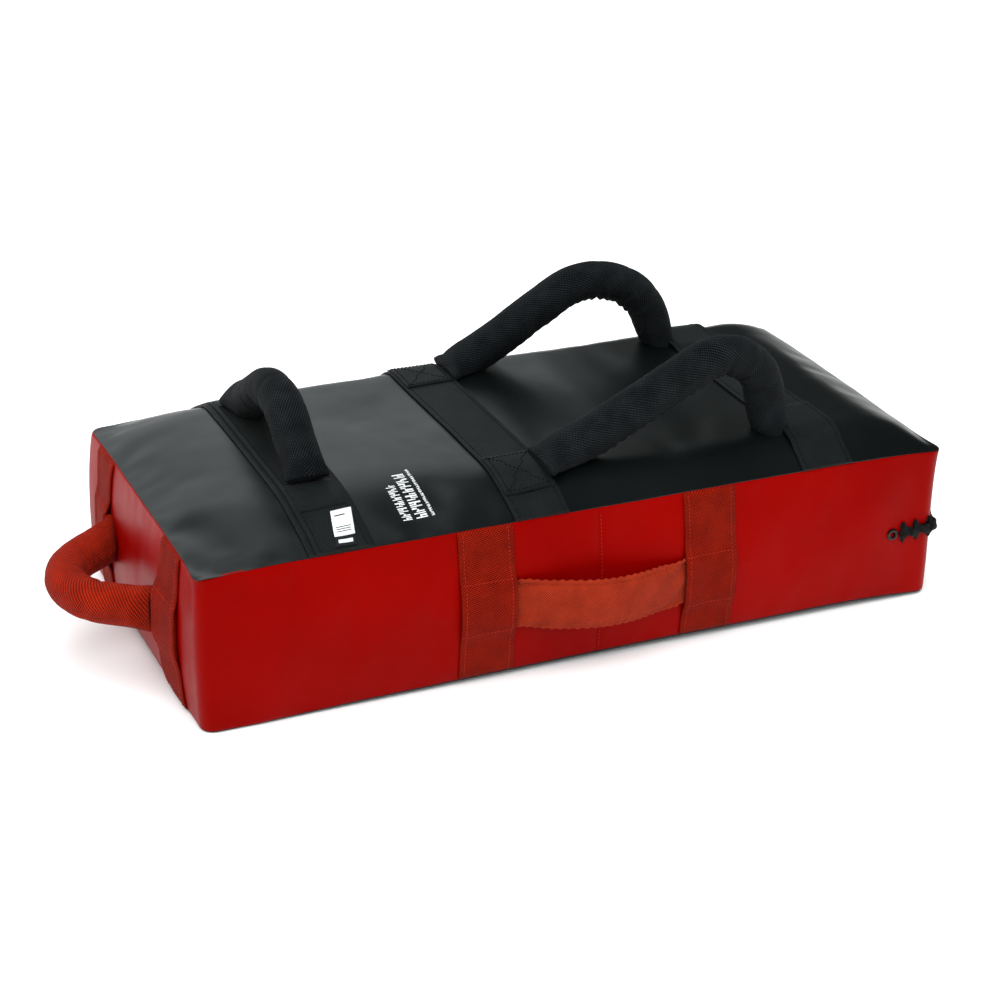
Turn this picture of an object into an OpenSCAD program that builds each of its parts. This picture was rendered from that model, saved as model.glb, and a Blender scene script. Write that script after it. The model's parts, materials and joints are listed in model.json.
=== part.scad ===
// Rectangular kick shield: a soft striking pad with a padded arm loop, two long
// padded grips, three webbing carry handles and a laced opening for its foam.
// Origin: centre of the flat strike face. +X runs along the pad to the laced
// end, -Y is the front long side and +Z leaves the face that carries the grips.

/* [Pad] */
// Length between the end seams
pad_l = 700; // [680:5:740]
// Width between the long side seams
pad_w = 345; // [335:5:360]
// Height of the seam round the back panel
seam_h = 147; // [140:1:155]
// Height of the seam round the strike panel
strike_rise = 7; // [5:1:9]
// Height of the crowned back panel above its seam
crown = 21; // [16:1:24]
// Distance from the seam over which the back panel rises to its flat middle
crown_run = 45; // [40:1:48]
// Distance from the seam over which the strike panel falls to its flat middle
strike_run = 30; // [26:1:36]
// How far the middle of each side wall stands out
bulge = 7; // [4:1:9]
// Radius of the four upright corners
corner_r = 16; // [14:1:20]
// Thickness of the vinyl cover
cover_t = 1.4; // [1.0:0.1:1.6]
// Position along X of the upright seam that joins the two wall panels
wall_seam_x = 10; // [0:1:14]

/* [Foam] */
// Top of the dense foam slab behind the strike face
strike_foam_top = 36; // [30:1:45]
// Top of the soft foam block in the middle
core_foam_top = 110; // [90:1:115]

/* [Webbing] */
// Width of every band and strap
web_w = 50; // [46:1:52]
// Thickness of one layer of webbing
web_t = 1.6; // [1.4:0.1:1.8]
// Left edge of the band under the arm loop
arm_band_x = -247; // [-252:1:-240]
// Left edge of the band across the middle
middle_band_x = -67; // [-70:1:-64]
// Left edge of the band near the laced end
end_band_x = 211; // [210:1:216]
// Left edges of the two straps on each long side
side_strap_x = [-121, 92];
// Inner edge of the two straps on the left end, either side of the middle
end_strap_y = 80; // [78:1:84]

/* [Handles] */
// Outer radius of a round padded handle
tube_r = 18.5; // [17.5:0.5:18.5]
// Thickness of the woven sleeve round a handle
sleeve_t = 1.2; // [1.0:0.1:1.4]
// Distance of the two long grips from the centre line
grip_y = 118; // [116:1:120]
// Height of the side handles above the floor
side_handle_z = 69; // [66:1:74]
// Slope of the side handles, lower towards the laced end
side_handle_slope = 3; // [0:1:3]
// Height of a flat side handle
flat_handle_h = 42; // [38:1:42]
// Thickness of a flat side handle
flat_handle_t = 10; // [8:1:10]

/* [Lacing] */
// Height of the slit in the laced end
slit_z = 70; // [68:1:74]
// Where the slit begins on each long side
slit_x = 303; // [300:1:306]
// Number of eyelet pairs along the slit
eyelet_pairs = 30; // [24:1:30]
// Distance of each eyelet row from the slit
eyelet_row = 5.5; // [5.5:0.1:6]

/* [Hidden] */

$fn = 48;

half_l = pad_l / 2;
half_w = pad_w / 2;
// Clearance between sewn layers, and between parts that move past each other
ply_gap = 0.12;
move_gap = 0.4;
top_z = seam_h + crown;
slit_h = 3;

// Insets from the seam at which the crowned panels change slope
crown_steps = [0, 0.045, 0.155, 0.33, 0.6, 1];
// Fractions of the wall height at which the bulged walls change slope
wall_steps = [for (i = [0:8]) i / 8];

wall_lo = strike_rise + ply_gap;
wall_hi = seam_h - ply_gap;
wall_levels = [for (f = wall_steps) wall_lo + f * (wall_hi - wall_lo)];
// How far the seams bow outward between the corners
seam_bow = 0.8;
wall_table = [for (f = wall_steps)
              [wall_lo + f * (wall_hi - wall_lo), seam_bow + (bulge - seam_bow) * sin(180 * f)]];

// Rise of a crowned panel, from 0 at the seam to 1 where it is flat
function ease(f) = f >= 1 ? 1 : sqrt(1 - pow(1 - f, 2));

// How far the wall stands out at height z, at its middle
function wall_out(z) = lookup(z, wall_table);

// The bulge dies away towards the corners: its share at the corner itself, at
// a near station, and the far station from which it is whole
corner_share = 0.35;
near_share = 0.5;
near_d = 25;
far_d = 60;

// Share of the bulge at distance d from a corner of the pad
function bulge_share(d) = lookup(d, [[corner_r, corner_share], [near_d, near_share], [far_d, 1]]);

// Where a side station sits when the outline is drawn in by d
station_run = 120;
function station(t, d) = d + t * (1 - d / station_run);

// One corner of the outline, drawn in by d and bulged by b, from the end side
// round to the long side
function corner_points(d, b) =
    let (r = max(corner_r - d, 1),
         cx = half_l - d - r,
         cy = half_w - d - r,
         rb = r + corner_share * b)
    concat([[half_l - d + b, half_w - station(far_d, d)],
            [half_l - d + near_share * b, half_w - station(near_d, d)]],
           [for (a = [0:22.5:90]) [cx + rb * cos(a), cy + rb * sin(a)]],
           [[half_l - station(near_d, d), half_w - d + near_share * b],
            [half_l - station(far_d, d), half_w - d + b]]);

function flip_x(pts) = [for (p = pts) [-p[0], p[1]]];
function flip_y(pts) = [for (p = pts) [p[0], -p[1]]];
function turned(pts) = [for (i = [len(pts) - 1:-1:0]) pts[i]];

// The whole outline, counter-clockwise from the laced end
function outline(d, b) =
    let (q = corner_points(d, b))
    concat(q, turned(flip_x(q)), flip_x(flip_y(q)), turned(flip_y(q)));

// The U-shaped half of the outline round the left end, and round the laced end
function left_half(d, b, x) =
    let (q = flip_x(corner_points(d, b)))
    concat([[x, half_w - d + b]], turned(q), flip_y(q), [[x, -half_w + d - b]]);
function right_half(d, b, x) =
    let (q = corner_points(d, b))
    concat([[x, -half_w + d - b]], turned(flip_y(q)), q, [[x, half_w - d + b]]);

function at_height(pts, z) = [for (p = pts) [p[0], p[1], z]];

// Solid skin through a list of closed loops with equal numbers of points,
// capped at both ends, or joined from the last loop back to the first
module loft(loops, ring = false) {
    n = len(loops[0]);
    m = len(loops);
    sides = [for (k = [0:m - (ring ? 1 : 2)]) for (i = [0:n - 1])
             let (up = (k + 1) % m)
             [k * n + i, k * n + (i + 1) % n, up * n + (i + 1) % n, up * n + i]];
    caps = ring ? [] : [[for (i = [n - 1:-1:0]) i], [for (i = [0:n - 1]) (m - 1) * n + i]];
    polyhedron(points = [for (l = loops) each l],
               faces = [for (f = concat(sides, caps)) turned(f)]);
}

// Loops of a crowned face: rim at z0, rising by h over run, drawn in by d more
function face_loops(z0, h, run, d, drop) =
    [for (f = crown_steps)
     at_height(outline(f * run + d, seam_bow), z0 + h * ease(f) - drop * f)];

// Upright wall strip along a half outline: levels are heights, out and inn are
// offsets of its outer and inner skin from the bulged wall
module wall_strip(side, x, levels, out, inn) {
    skins = concat([for (z = levels) [z, out]], [for (z = turned(levels)) [z, inn]]);
    rows = [for (s = skins)
            let (b = wall_out(s[0]))
            let (p = side == "left" ? left_half(-s[1], b, x) : right_half(-s[1], b, x))
            at_height(p, s[0])];
    loft([for (i = [0:len(rows[0]) - 1]) [for (row = rows) row[i]]]);
}

module strike_panel() {
    color([0.05, 0.05, 0.055])
    loft(concat(turned(face_loops(strike_rise, -strike_rise, strike_run, 0, 0)),
                face_loops(strike_rise, -strike_rise, strike_run, cover_t, -cover_t)));
}

module back_panel() {
    color([0.12, 0.14, 0.14])
    loft(concat(turned(face_loops(seam_h, crown, crown_run, cover_t, cover_t)),
                face_loops(seam_h, crown, crown_run, 0, 0)));
}

module wall_panel_left() {
    color([0.62, 0.03, 0.03])
    wall_strip("left", wall_seam_x - ply_gap, wall_levels, 0, -cover_t);
}

module wall_panel_right() {
    color([0.66, 0.03, 0.03])
    difference() {
        wall_strip("right", wall_seam_x + ply_gap, wall_levels, 0, -cover_t);
        translate([slit_x, -pad_w, slit_z - slit_h / 2])
            cube([pad_l, 2 * pad_w, slit_h]);
    }
}

/* Foam */
foam_in = 3.4;

// Loop of the foam at height z, following the inside of the walls
function foam_loop(z) = at_height(outline(foam_in, wall_out(z)), z);

function levels_between(lo, hi) = concat([lo], [for (z = wall_levels) if (z > lo + 1 && z < hi - 1) z], [hi]);

module strike_foam() {
    lo = strike_rise + cover_t;
    color([0.25, 0.25, 0.27])
    loft(concat(turned(face_loops(strike_rise, -strike_rise, strike_run, foam_in, -cover_t - ply_gap)),
                [for (z = levels_between(lo, strike_foam_top)) foam_loop(z)]));
}

module core_foam() {
    color([0.85, 0.82, 0.6])
    loft([for (z = levels_between(strike_foam_top + ply_gap, core_foam_top)) foam_loop(z)]);
}

module back_foam() {
    hi = seam_h - cover_t;
    color([0.8, 0.8, 0.78])
    loft(concat([for (z = levels_between(core_foam_top + ply_gap, hi)) foam_loop(z)],
                face_loops(seam_h, crown, crown_run, foam_in, cover_t + ply_gap)));
}

/* Cloth laid on the back panel */
crown_table = [for (i = [len(crown_steps) - 1:-1:0])
               [half_w + seam_bow - crown_steps[i] * crown_run, seam_h + crown * ease(crown_steps[i])]];
function crown_z(y) = lookup(abs(y), crown_table);
crown_marks = [for (s = [-1, 1]) for (p = crown_table) s * p[0]];

function sorted(v) =
    len(v) < 2 ? v : concat(sorted([for (x = v) if (x < v[0]) x]), [v[0]],
                            sorted([for (x = v) if (x > v[0]) x]));

// The places between lo and hi where a strip of cloth has to bend
function bends(lo, hi, marks) =
    concat([lo], sorted([for (x = marks) if (x > lo + 0.5 && x < hi - 0.5) x]), [hi]);

// Strip of cloth on the back panel from y0 to y1: lifts are [y, height] pairs
module crown_strip(x, w, y0, y1, lifts, t) {
    ys = bends(y0, y1, concat(crown_marks, [for (p = lifts) p[0]]));
    lower = [for (y = ys) [y, crown_z(y) + lookup(y, lifts)]];
    upper = [for (y = turned(ys)) [y, crown_z(y) + lookup(y, lifts) + t]];
    translate([x, 0, 0])
        rotate([90, 0, 90])
        linear_extrude(w)
        polygon(concat(lower, upper));
}

band_end = half_w - 2;
base_t = 1;
// How far the base of the arm band shows on either side of it
base_left = 6;
base_right = 3;
arm_lift = base_t + 2 * ply_gap;
tab_t = 2;
tab_lift = ply_gap + web_t + ply_gap;
grip_tab_l = 46;
grip_tab_w = 56;

module arm_band_base() {
    color([0.07, 0.07, 0.07])
    crown_strip(arm_band_x - base_left, web_w + base_left + base_right, -band_end, band_end,
                [[0, ply_gap]], base_t);
}

module arm_band() {
    color([0.09, 0.09, 0.09])
    crown_strip(arm_band_x, web_w, -band_end, band_end, [[0, arm_lift]], web_t);
}

module middle_band() {
    color([0.09, 0.09, 0.09])
    crown_strip(middle_band_x, web_w, -band_end, band_end, [[0, ply_gap]], web_t);
}

// The end band passes over the tabs of the two grips
module end_band() {
    low = ply_gap;
    high = tab_t + 2 * ply_gap;
    inner = grip_y - grip_tab_w / 2;
    outer = grip_y + grip_tab_w / 2;
    rise = [[inner - 6, low], [inner - 1, high], [outer + 1, high], [outer + 6, low]];
    lifts = concat([for (p = turned(rise)) [-p[0], p[1]]], rise);
    color([0.09, 0.09, 0.09])
    crown_strip(end_band_x, web_w, -band_end, band_end, lifts, web_t);
}

// Woven label at the near end of the arm band
label_inset = 15;
label_w = 18;
label_y = [-164, -122];
label_t = 0.5;
module size_label() {
    color([0.85, 0.86, 0.86])
    crown_strip(arm_band_x + label_inset, label_w, label_y[0], label_y[1],
                [[0, arm_lift + web_t + ply_gap]], label_t);
}

/* Sewn ends of the handles on the bands */
arm_tab_w = 42;
arm_tab_l = 41;
// Bare gap between a tab and the fold that its handle tips on
foot_gap = 5;
arm_foot_y = [-74, 104];
arm_tab_lift = arm_lift + web_t + ply_gap;
grip_foot_x = [[-7, 204], [-4, 206]];

module arm_tab(y0, y1) {
    color([0.11, 0.11, 0.12])
    crown_strip(arm_band_x + (web_w - arm_tab_w) / 2, arm_tab_w, y0, y1, [[0, arm_tab_lift]], tab_t);
}
module arm_loop_tab_front() { arm_tab(arm_foot_y[0] - foot_gap - arm_tab_l, arm_foot_y[0] - foot_gap); }
module arm_loop_tab_rear() { arm_tab(arm_foot_y[1] + foot_gap, arm_foot_y[1] + foot_gap + arm_tab_l); }

// Tab of a grip at y = side * grip_y, above or below its band
module grip_tab(x, side, lift) {
    color([0.11, 0.11, 0.12])
    crown_strip(x, grip_tab_l, side * grip_y - grip_tab_w / 2, side * grip_y + grip_tab_w / 2,
                [[0, lift]], tab_t);
}
tab_inset = 2;
module near_grip_tab_left() { grip_tab(middle_band_x + tab_inset, -1, tab_lift); }
module far_grip_tab_left() { grip_tab(middle_band_x + tab_inset, 1, tab_lift); }
module near_grip_tab_right() { grip_tab(end_band_x + tab_inset, -1, ply_gap); }
module far_grip_tab_right() { grip_tab(end_band_x + tab_inset, 1, ply_gap); }

/* Straps down the walls */
strap_lo = strike_rise + 0.8;
strap_hi = seam_h - 0.8;
pocket_half = flat_handle_h / 2 + 1;
end_ply_t = 2.6;
pocket_lift = end_ply_t + 2 * ply_gap;

function pocket(zc) = [[zc - pocket_half - 5, ply_gap], [zc - pocket_half, pocket_lift],
                       [zc + pocket_half, pocket_lift], [zc + pocket_half + 5, ply_gap]];

// Section of cloth lying on a bulged wall, as [distance out, height] points
function wall_section(z0, z1, lifts, t) =
    let (zs = bends(z0, z1, concat(wall_levels, [for (p = lifts) p[0]])))
    concat([for (z = zs) [wall_out(z) + lookup(z, lifts), z]],
           [for (z = turned(zs)) [wall_out(z) + lookup(z, lifts) + t, z]]);

// Cloth w wide on one wall, from the place lo along it
module wall_cloth(wall, lo, w, z0, z1, lifts, t) {
    at = wall == "front" ? [lo + w, -half_w, 0] : wall == "rear" ? [lo, half_w, 0] : [-half_l, lo, 0];
    turn = wall == "front" ? -90 : wall == "rear" ? 90 : 180;
    translate(at)
        rotate([90, 0, turn])
        linear_extrude(w)
        polygon(wall_section(z0, z1, lifts, t));
}

module strap(wall, lo, zc) {
    color([0.66, 0.13, 0.07])
    wall_cloth(wall, lo, web_w, strap_lo, strap_hi, pocket(zc), web_t);
}

// Height at which the side handles enter each strap
function entry_z(i) = side_handle_z + (i == 0 ? 2 : -2) * side_handle_slope;

module front_strap_left() { strap("front", side_strap_x[0], entry_z(0)); }
module front_strap_right() { strap("front", side_strap_x[1], entry_z(1)); }
module rear_strap_left() { strap("rear", side_strap_x[0], entry_z(0)); }
module rear_strap_right() { strap("rear", side_strap_x[1], entry_z(1)); }
module end_strap_front() { strap("end", -end_strap_y - web_w, end_handle_z); }
module end_strap_rear() { strap("end", end_strap_y, end_handle_z); }

// Flattened handle end, sewn in behind its strap
module handle_end(wall, lo, zc) {
    h = flat_handle_h / 2;
    color([0.62, 0.11, 0.06])
    wall_cloth(wall, lo, web_w - 5, zc - h, zc + h, [[0, ply_gap]], end_ply_t);
}
module front_handle_end_left() { handle_end("front", side_strap_x[0] + 4, entry_z(0)); }
module front_handle_end_right() { handle_end("front", side_strap_x[1] + 1, entry_z(1)); }
module rear_handle_end_left() { handle_end("rear", side_strap_x[0] + 4, entry_z(0)); }
module rear_handle_end_right() { handle_end("rear", side_strap_x[1] + 1, entry_z(1)); }
module end_handle_end_front() { handle_end("end", -end_strap_y - web_w + 4, end_handle_z); }
module end_handle_end_rear() { handle_end("end", end_strap_y + 1, end_handle_z); }

/* Padded handles: each tips about the line through its two feet */
end_handle_z = 75;
root_r = 3.2;
root_l = 6;
neck_l = 14;
neck_r = 2.6;
core_w = 15;
core_t = 3.2;
// Room round the inner webbing in the foam, across it and through it
bore_room = [7, 2.6];

// A handle is [span between feet, rise at foot a, rise at foot b, radius of its
// bend, bare length at foot a, bare length at foot b]
near_grip = [grip_foot_x[0][1] - grip_foot_x[0][0], 26.5, 80, 45, 40, 19];
far_grip = [grip_foot_x[1][1] - grip_foot_x[1][0], 31, 72, 70, 35, 19];
arm_loop = [arm_foot_y[1] - arm_foot_y[0], 45, 32, 55, 26, 37];
end_handle = [152, 52, 52, 62, 21, 21];
flat_handle = [153, 18, 18, 110, 35, 35];

// Lengths of the two straight legs either side of the bend
function legs(s) =
    let (p = s[0] - s[3] * (sin(s[1]) + sin(s[2])),
         q = s[3] * (cos(s[1]) - cos(s[2])),
         k = sin(s[1] + s[2]))
    [(p * sin(s[2]) + q * cos(s[2])) / k, (p * sin(s[1]) - q * cos(s[1])) / k];

// Stations along the middle of a handle, as [along, out, heading], leaving
// cut_a and cut_b off its legs
function stations(s, cut_a, cut_b) =
    let (leg = legs(s),
         turn = s[1] + s[2],
         n = ceil(turn / 14),
         centre = [leg[0] * cos(s[1]) + s[3] * sin(s[1]), leg[0] * sin(s[1]) - s[3] * cos(s[1])])
    concat([[cut_a * cos(s[1]), cut_a * sin(s[1]), s[1]]],
           [for (i = [0:n])
            let (a = s[1] - turn * i / n)
            [centre[0] - s[3] * sin(a), centre[1] + s[3] * cos(a), a]],
           [[s[0] - cut_b * cos(s[2]), cut_b * sin(s[2]), -s[2]]]);

// Section of a handle, h wide and t thick with round edges; a circle if h = t
section_sides = 20;
function section(h, t) =
    [for (i = [0:section_sides - 1])
     let (a = (i + 0.5) * 360 / section_sides)
     [sign(cos(a)) * (h - t) / 2 + t / 2 * cos(a), t / 2 * sin(a)]];
function slot_section(h, t) =
    [for (i = [0:section_sides - 1])
     let (a = (i + 0.5) * 360 / section_sides)
     [h / 2 * cos(a), t / 2 * sin(a)]];

// A section set across the handle at one station
function set_across(sec, st) =
    [for (p = sec) [st[0] - p[1] * sin(st[2]), p[0], st[1] + p[1] * cos(st[2])]];

module solid_along(s, cuts, sec) {
    loft([for (st = stations(s, cuts[0], cuts[1])) set_across(sec, st)]);
}

module tube_along(s, cuts, outer, inner) {
    path = stations(s, cuts[0], cuts[1]);
    loft(concat([for (st = path) set_across(outer, st)],
                [for (st = turned(path)) set_across(inner, st)]), ring = true);
}

// Foot of the inner webbing: a round fold on the hinge line and a neck
module web_root(rise, cut) {
    rotate([0, 90, 0])
        cylinder(r = root_r, h = root_l, center = true);
    rotate([0, 90 - rise, 0])
        cylinder(r = neck_r, h = min(cut, neck_l) + 2);
}

module handle_web(s) {
    w = core_w / 2;
    t = core_t / 2;
    solid_along(s, [neck_l, neck_l], [[w, t], [-w, t], [-w, -t], [w, -t]]);
    web_root(s[1], s[4]);
    translate([s[0], 0, 0])
        mirror([1, 0, 0])
        web_root(s[2], s[5]);
}

module handle_sleeve(s, h, t) {
    tube_along(s, [s[4], s[5]], section(h, t), section(h - 2 * sleeve_t, t - 2 * sleeve_t));
}

module handle_foam(s, h, t) {
    inset = 2 * sleeve_t + 0.4;
    tube_along(s, [s[4] + 1, s[5] + 1], section(h - inset, t - inset),
               slot_section(core_w + bore_room[0], core_t + bore_room[1]));
}

module tube_sleeve(s) { handle_sleeve(s, 2 * tube_r, 2 * tube_r); }
module tube_foam(s) { handle_foam(s, 2 * tube_r, 2 * tube_r); }
module flat_sleeve(s) { handle_sleeve(s, flat_handle_h, flat_handle_t); }
module flat_foam(s) { handle_foam(s, flat_handle_h, flat_handle_t); }

arm_axis_z = top_z + arm_lift + web_t + 0.4 + root_r;
grip_axis_z = top_z + move_gap + root_r + 0.6;
side_axis = half_w + bulge + move_gap + root_r;
end_axis = half_l + bulge + move_gap + root_r;

module at_near_grip() {
    translate([grip_foot_x[0][0], -grip_y, grip_axis_z])
        children();
}
module at_far_grip() {
    translate([grip_foot_x[1][0], grip_y, grip_axis_z])
        children();
}
module at_arm_loop() {
    translate([arm_band_x + web_w / 2, arm_foot_y[0], arm_axis_z])
        rotate([0, 0, 90])
        children();
}
module at_end_handle() {
    translate([-end_axis, -end_handle[0] / 2, end_handle_z])
        multmatrix([[0, 0, -1, 0], [1, 0, 0, 0], [0, -1, 0, 0]])
        children();
}
module at_front_handle() {
    mid_x = (side_strap_x[0] + side_strap_x[1] + web_w) / 2;
    translate([mid_x, -side_axis, side_handle_z])
        rotate([0, side_handle_slope, 0])
        rotate([90, 0, 0])
        translate([-flat_handle[0] / 2, 0, 0])
        children();
}
module at_rear_handle() {
    mirror([0, 1, 0])
        at_front_handle()
        children();
}

black_cloth = [0.10, 0.10, 0.11];
red_cloth = [0.66, 0.13, 0.07];
foam_grey = [0.35, 0.35, 0.36];
web_grey = [0.2, 0.2, 0.2];

module arm_loop_sleeve() { color(black_cloth) at_arm_loop() tube_sleeve(arm_loop); }
module arm_loop_foam() { color(foam_grey) at_arm_loop() tube_foam(arm_loop); }
module arm_loop_web() { color(web_grey) at_arm_loop() handle_web(arm_loop); }
module near_grip_sleeve() { color(black_cloth) at_near_grip() tube_sleeve(near_grip); }
module near_grip_foam() { color(foam_grey) at_near_grip() tube_foam(near_grip); }
module near_grip_web() { color(web_grey) at_near_grip() handle_web(near_grip); }
module far_grip_sleeve() { color(black_cloth) at_far_grip() tube_sleeve(far_grip); }
module far_grip_foam() { color(foam_grey) at_far_grip() tube_foam(far_grip); }
module far_grip_web() { color(web_grey) at_far_grip() handle_web(far_grip); }
module end_handle_sleeve() { color(red_cloth) at_end_handle() tube_sleeve(end_handle); }
module end_handle_foam() { color(foam_grey) at_end_handle() tube_foam(end_handle); }
module end_handle_web() { color(web_grey) at_end_handle() handle_web(end_handle); }
module front_handle_sleeve() { color(red_cloth) at_front_handle() flat_sleeve(flat_handle); }
module front_handle_foam() { color(foam_grey) at_front_handle() flat_foam(flat_handle); }
module front_handle_web() { color(web_grey) at_front_handle() handle_web(flat_handle); }
module rear_handle_sleeve() { color(red_cloth) at_rear_handle() flat_sleeve(flat_handle); }
module rear_handle_foam() { color(foam_grey) at_rear_handle() flat_foam(flat_handle); }
module rear_handle_web() { color(web_grey) at_rear_handle() handle_web(flat_handle); }

/* Lacing round the laced end */
flap_in = cover_t + 0.4;
flap_t = 1;
flap_half = 12;
flap_overlap = 20;
slit_side = half_l - corner_r - slit_x;
slit_arc = PI * corner_r / 2;
slit_end = 2 * (half_w - corner_r);
slit_len = 2 * slit_side + 2 * slit_arc + slit_end;
lace_margin = 13;

// Pose of a place s along the slit, as [x, y, heading of the outward normal,
// distance from the nearest corner]
function slit_place(s) =
    s > slit_len / 2 ? let (m = slit_place(slit_len - s)) [m[0], -m[1], -m[2], m[3]] :
    s < slit_side ? [slit_x + s, -half_w, -90, half_l - slit_x - s] :
    s < slit_side + slit_arc ?
        let (a = (s - slit_side) / slit_arc * 90 - 90)
        [half_l - corner_r + corner_r * cos(a), -half_w + corner_r + corner_r * sin(a), a, corner_r] :
    let (y = -half_w + corner_r + s - slit_side - slit_arc)
    [half_l, y, 0, y + half_w];

// Put the children on the wall at place s and height z, facing outward
module on_slit(s, z, out) {
    p = slit_place(s);
    b = wall_out(z) * bulge_share(p[3]) + out;
    translate([p[0] + b * cos(p[2]), p[1] + b * sin(p[2]), z])
        rotate([0, 90, p[2]])
        children();
}

function pair_s(i) = lace_margin + i * (slit_len - 2 * lace_margin) / (eyelet_pairs - 1);

module ring(r, bore, h) {
    difference() {
        cylinder(r = r, h = h);
        translate([0, 0, -1])
            cylinder(r = bore, h = h + 2);
    }
}

eyelet_out = 0.55;
eyelet_h = 0.8;
eyelet_r = 3.4;
eyelet_bore = 1.9;
grommet_r = 5.6;
grommet_bore = 3;
// The lace clears the eyelets where it turns round the corners
lace_gap = 1.2;
lace_out = eyelet_out + eyelet_h + lace_gap;
lace_w = 3.6;
lace_t = 1.2;

module lace_flap() {
    color([0.04, 0.04, 0.04])
    wall_strip("right", slit_x - flap_overlap, levels_between(slit_z - flap_half, slit_z + flap_half),
               -flap_in, -flap_in - flap_t);
}

module eyelets(side) {
    color([0.06, 0.06, 0.06])
    for (i = [0:eyelet_pairs - 1])
        on_slit(pair_s(i), slit_z + side * eyelet_row, eyelet_out)
            ring(eyelet_r, eyelet_bore, eyelet_h);
}
module eyelets_upper() { eyelets(1); }
module eyelets_lower() { eyelets(-1); }

module slit_grommets() {
    color([0.06, 0.06, 0.06])
    for (s = [1, slit_len - 1])
        on_slit(s, slit_z, eyelet_out)
            ring(grommet_r, grommet_bore, eyelet_h);
}

// The lace runs up across the slit at each pair and back down to the next one
lace_marks = [for (i = [0:eyelet_pairs - 1])
              each concat([[pair_s(i), -1], [pair_s(i), 1]],
                          i < eyelet_pairs - 1 ? [[(pair_s(i) + pair_s(i + 1)) / 2, 0]] : [])];

module lace_disc(m) {
    on_slit(m[0], slit_z + m[1] * eyelet_row, lace_out)
        cylinder(d = lace_w, h = lace_t, $fn = 8);
}

module lace() {
    color([0.03, 0.03, 0.03])
    for (i = [0:len(lace_marks) - 2])
        hull() {
            lace_disc(lace_marks[i]);
            lace_disc(lace_marks[i + 1]);
        }
}

strike_panel();
back_panel();
wall_panel_left();
wall_panel_right();
strike_foam();
core_foam();
back_foam();
arm_band_base();
arm_band();
middle_band();
end_band();
size_label();
front_strap_left();
front_strap_right();
rear_strap_left();
rear_strap_right();
end_strap_front();
end_strap_rear();
arm_loop_tab_front();
arm_loop_tab_rear();
near_grip_tab_left();
near_grip_tab_right();
far_grip_tab_left();
far_grip_tab_right();
front_handle_end_left();
front_handle_end_right();
rear_handle_end_left();
rear_handle_end_right();
end_handle_end_front();
end_handle_end_rear();
arm_loop_sleeve();
arm_loop_foam();
arm_loop_web();
near_grip_sleeve();
near_grip_foam();
near_grip_web();
far_grip_sleeve();
far_grip_foam();
far_grip_web();
end_handle_sleeve();
end_handle_foam();
end_handle_web();
front_handle_sleeve();
front_handle_foam();
front_handle_web();
rear_handle_sleeve();
rear_handle_foam();
rear_handle_web();
lace_flap();
eyelets_upper();
eyelets_lower();
slit_grommets();
lace();
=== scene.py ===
import json
import math

import bmesh
import bpy
import numpy as np
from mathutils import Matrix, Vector, noise
from mathutils.bvhtree import BVHTree


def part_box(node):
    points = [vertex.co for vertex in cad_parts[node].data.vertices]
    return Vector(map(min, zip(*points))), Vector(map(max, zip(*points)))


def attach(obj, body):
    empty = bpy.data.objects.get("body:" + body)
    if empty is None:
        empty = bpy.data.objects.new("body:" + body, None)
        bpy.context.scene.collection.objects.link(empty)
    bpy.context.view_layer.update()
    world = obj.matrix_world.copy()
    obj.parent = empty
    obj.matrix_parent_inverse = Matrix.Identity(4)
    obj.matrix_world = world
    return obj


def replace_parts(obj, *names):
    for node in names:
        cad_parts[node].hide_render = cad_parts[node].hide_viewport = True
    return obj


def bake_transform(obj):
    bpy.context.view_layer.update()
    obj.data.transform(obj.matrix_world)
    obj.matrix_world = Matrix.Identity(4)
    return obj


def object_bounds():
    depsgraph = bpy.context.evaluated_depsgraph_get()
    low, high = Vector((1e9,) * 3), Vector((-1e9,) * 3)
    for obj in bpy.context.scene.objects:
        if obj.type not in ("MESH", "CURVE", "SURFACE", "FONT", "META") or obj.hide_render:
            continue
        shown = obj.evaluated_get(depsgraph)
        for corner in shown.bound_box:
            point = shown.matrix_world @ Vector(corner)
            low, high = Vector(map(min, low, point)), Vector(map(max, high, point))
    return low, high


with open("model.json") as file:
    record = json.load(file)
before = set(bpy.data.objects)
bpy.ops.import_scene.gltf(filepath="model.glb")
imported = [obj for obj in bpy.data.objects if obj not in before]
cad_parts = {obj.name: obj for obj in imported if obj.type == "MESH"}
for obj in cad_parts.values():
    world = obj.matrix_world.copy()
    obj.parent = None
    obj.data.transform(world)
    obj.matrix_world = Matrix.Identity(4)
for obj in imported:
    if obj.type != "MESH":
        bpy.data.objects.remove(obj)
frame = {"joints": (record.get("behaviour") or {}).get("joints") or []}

CAD_LO, CAD_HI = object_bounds()
MM = 0.001

# ---------------------------------------------------------------- the frame
PANEL_LO, PANEL_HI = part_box("back_panel")
HALF_L = PANEL_HI.x
HALF_W = PANEL_HI.y
SEAM_Z = PANEL_LO.z
TOP_Z = PANEL_HI.z
STRIKE_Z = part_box("strike_panel")[1].z
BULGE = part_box("wall_panel_right")[1].x - HALF_L
CROWN_RUN = 42 * MM         # width of the rounded border of the back panel
STRIKE_RUN = 30 * MM
FOLD = 3.2 * MM             # how far cloth folds in behind a seam
CORNER_R = 12 * MM
CORNER_X, CORNER_Y = HALF_L - CORNER_R, HALF_W - CORNER_R
WALL_SEAM_X = 10 * MM
SLIT_Z = (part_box("eyelets_upper")[1].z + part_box("eyelets_lower")[0].z) / 2
SLIT_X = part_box("slit_grommets")[0].x + 6 * MM


def middle(node):
    """Middle of a CAD node's box."""
    lo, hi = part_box(node)
    return (lo + hi) / 2


def joint(name):
    """A joint's entry in the frame."""
    return next(j for j in frame["joints"] if j["name"] == name)


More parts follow.
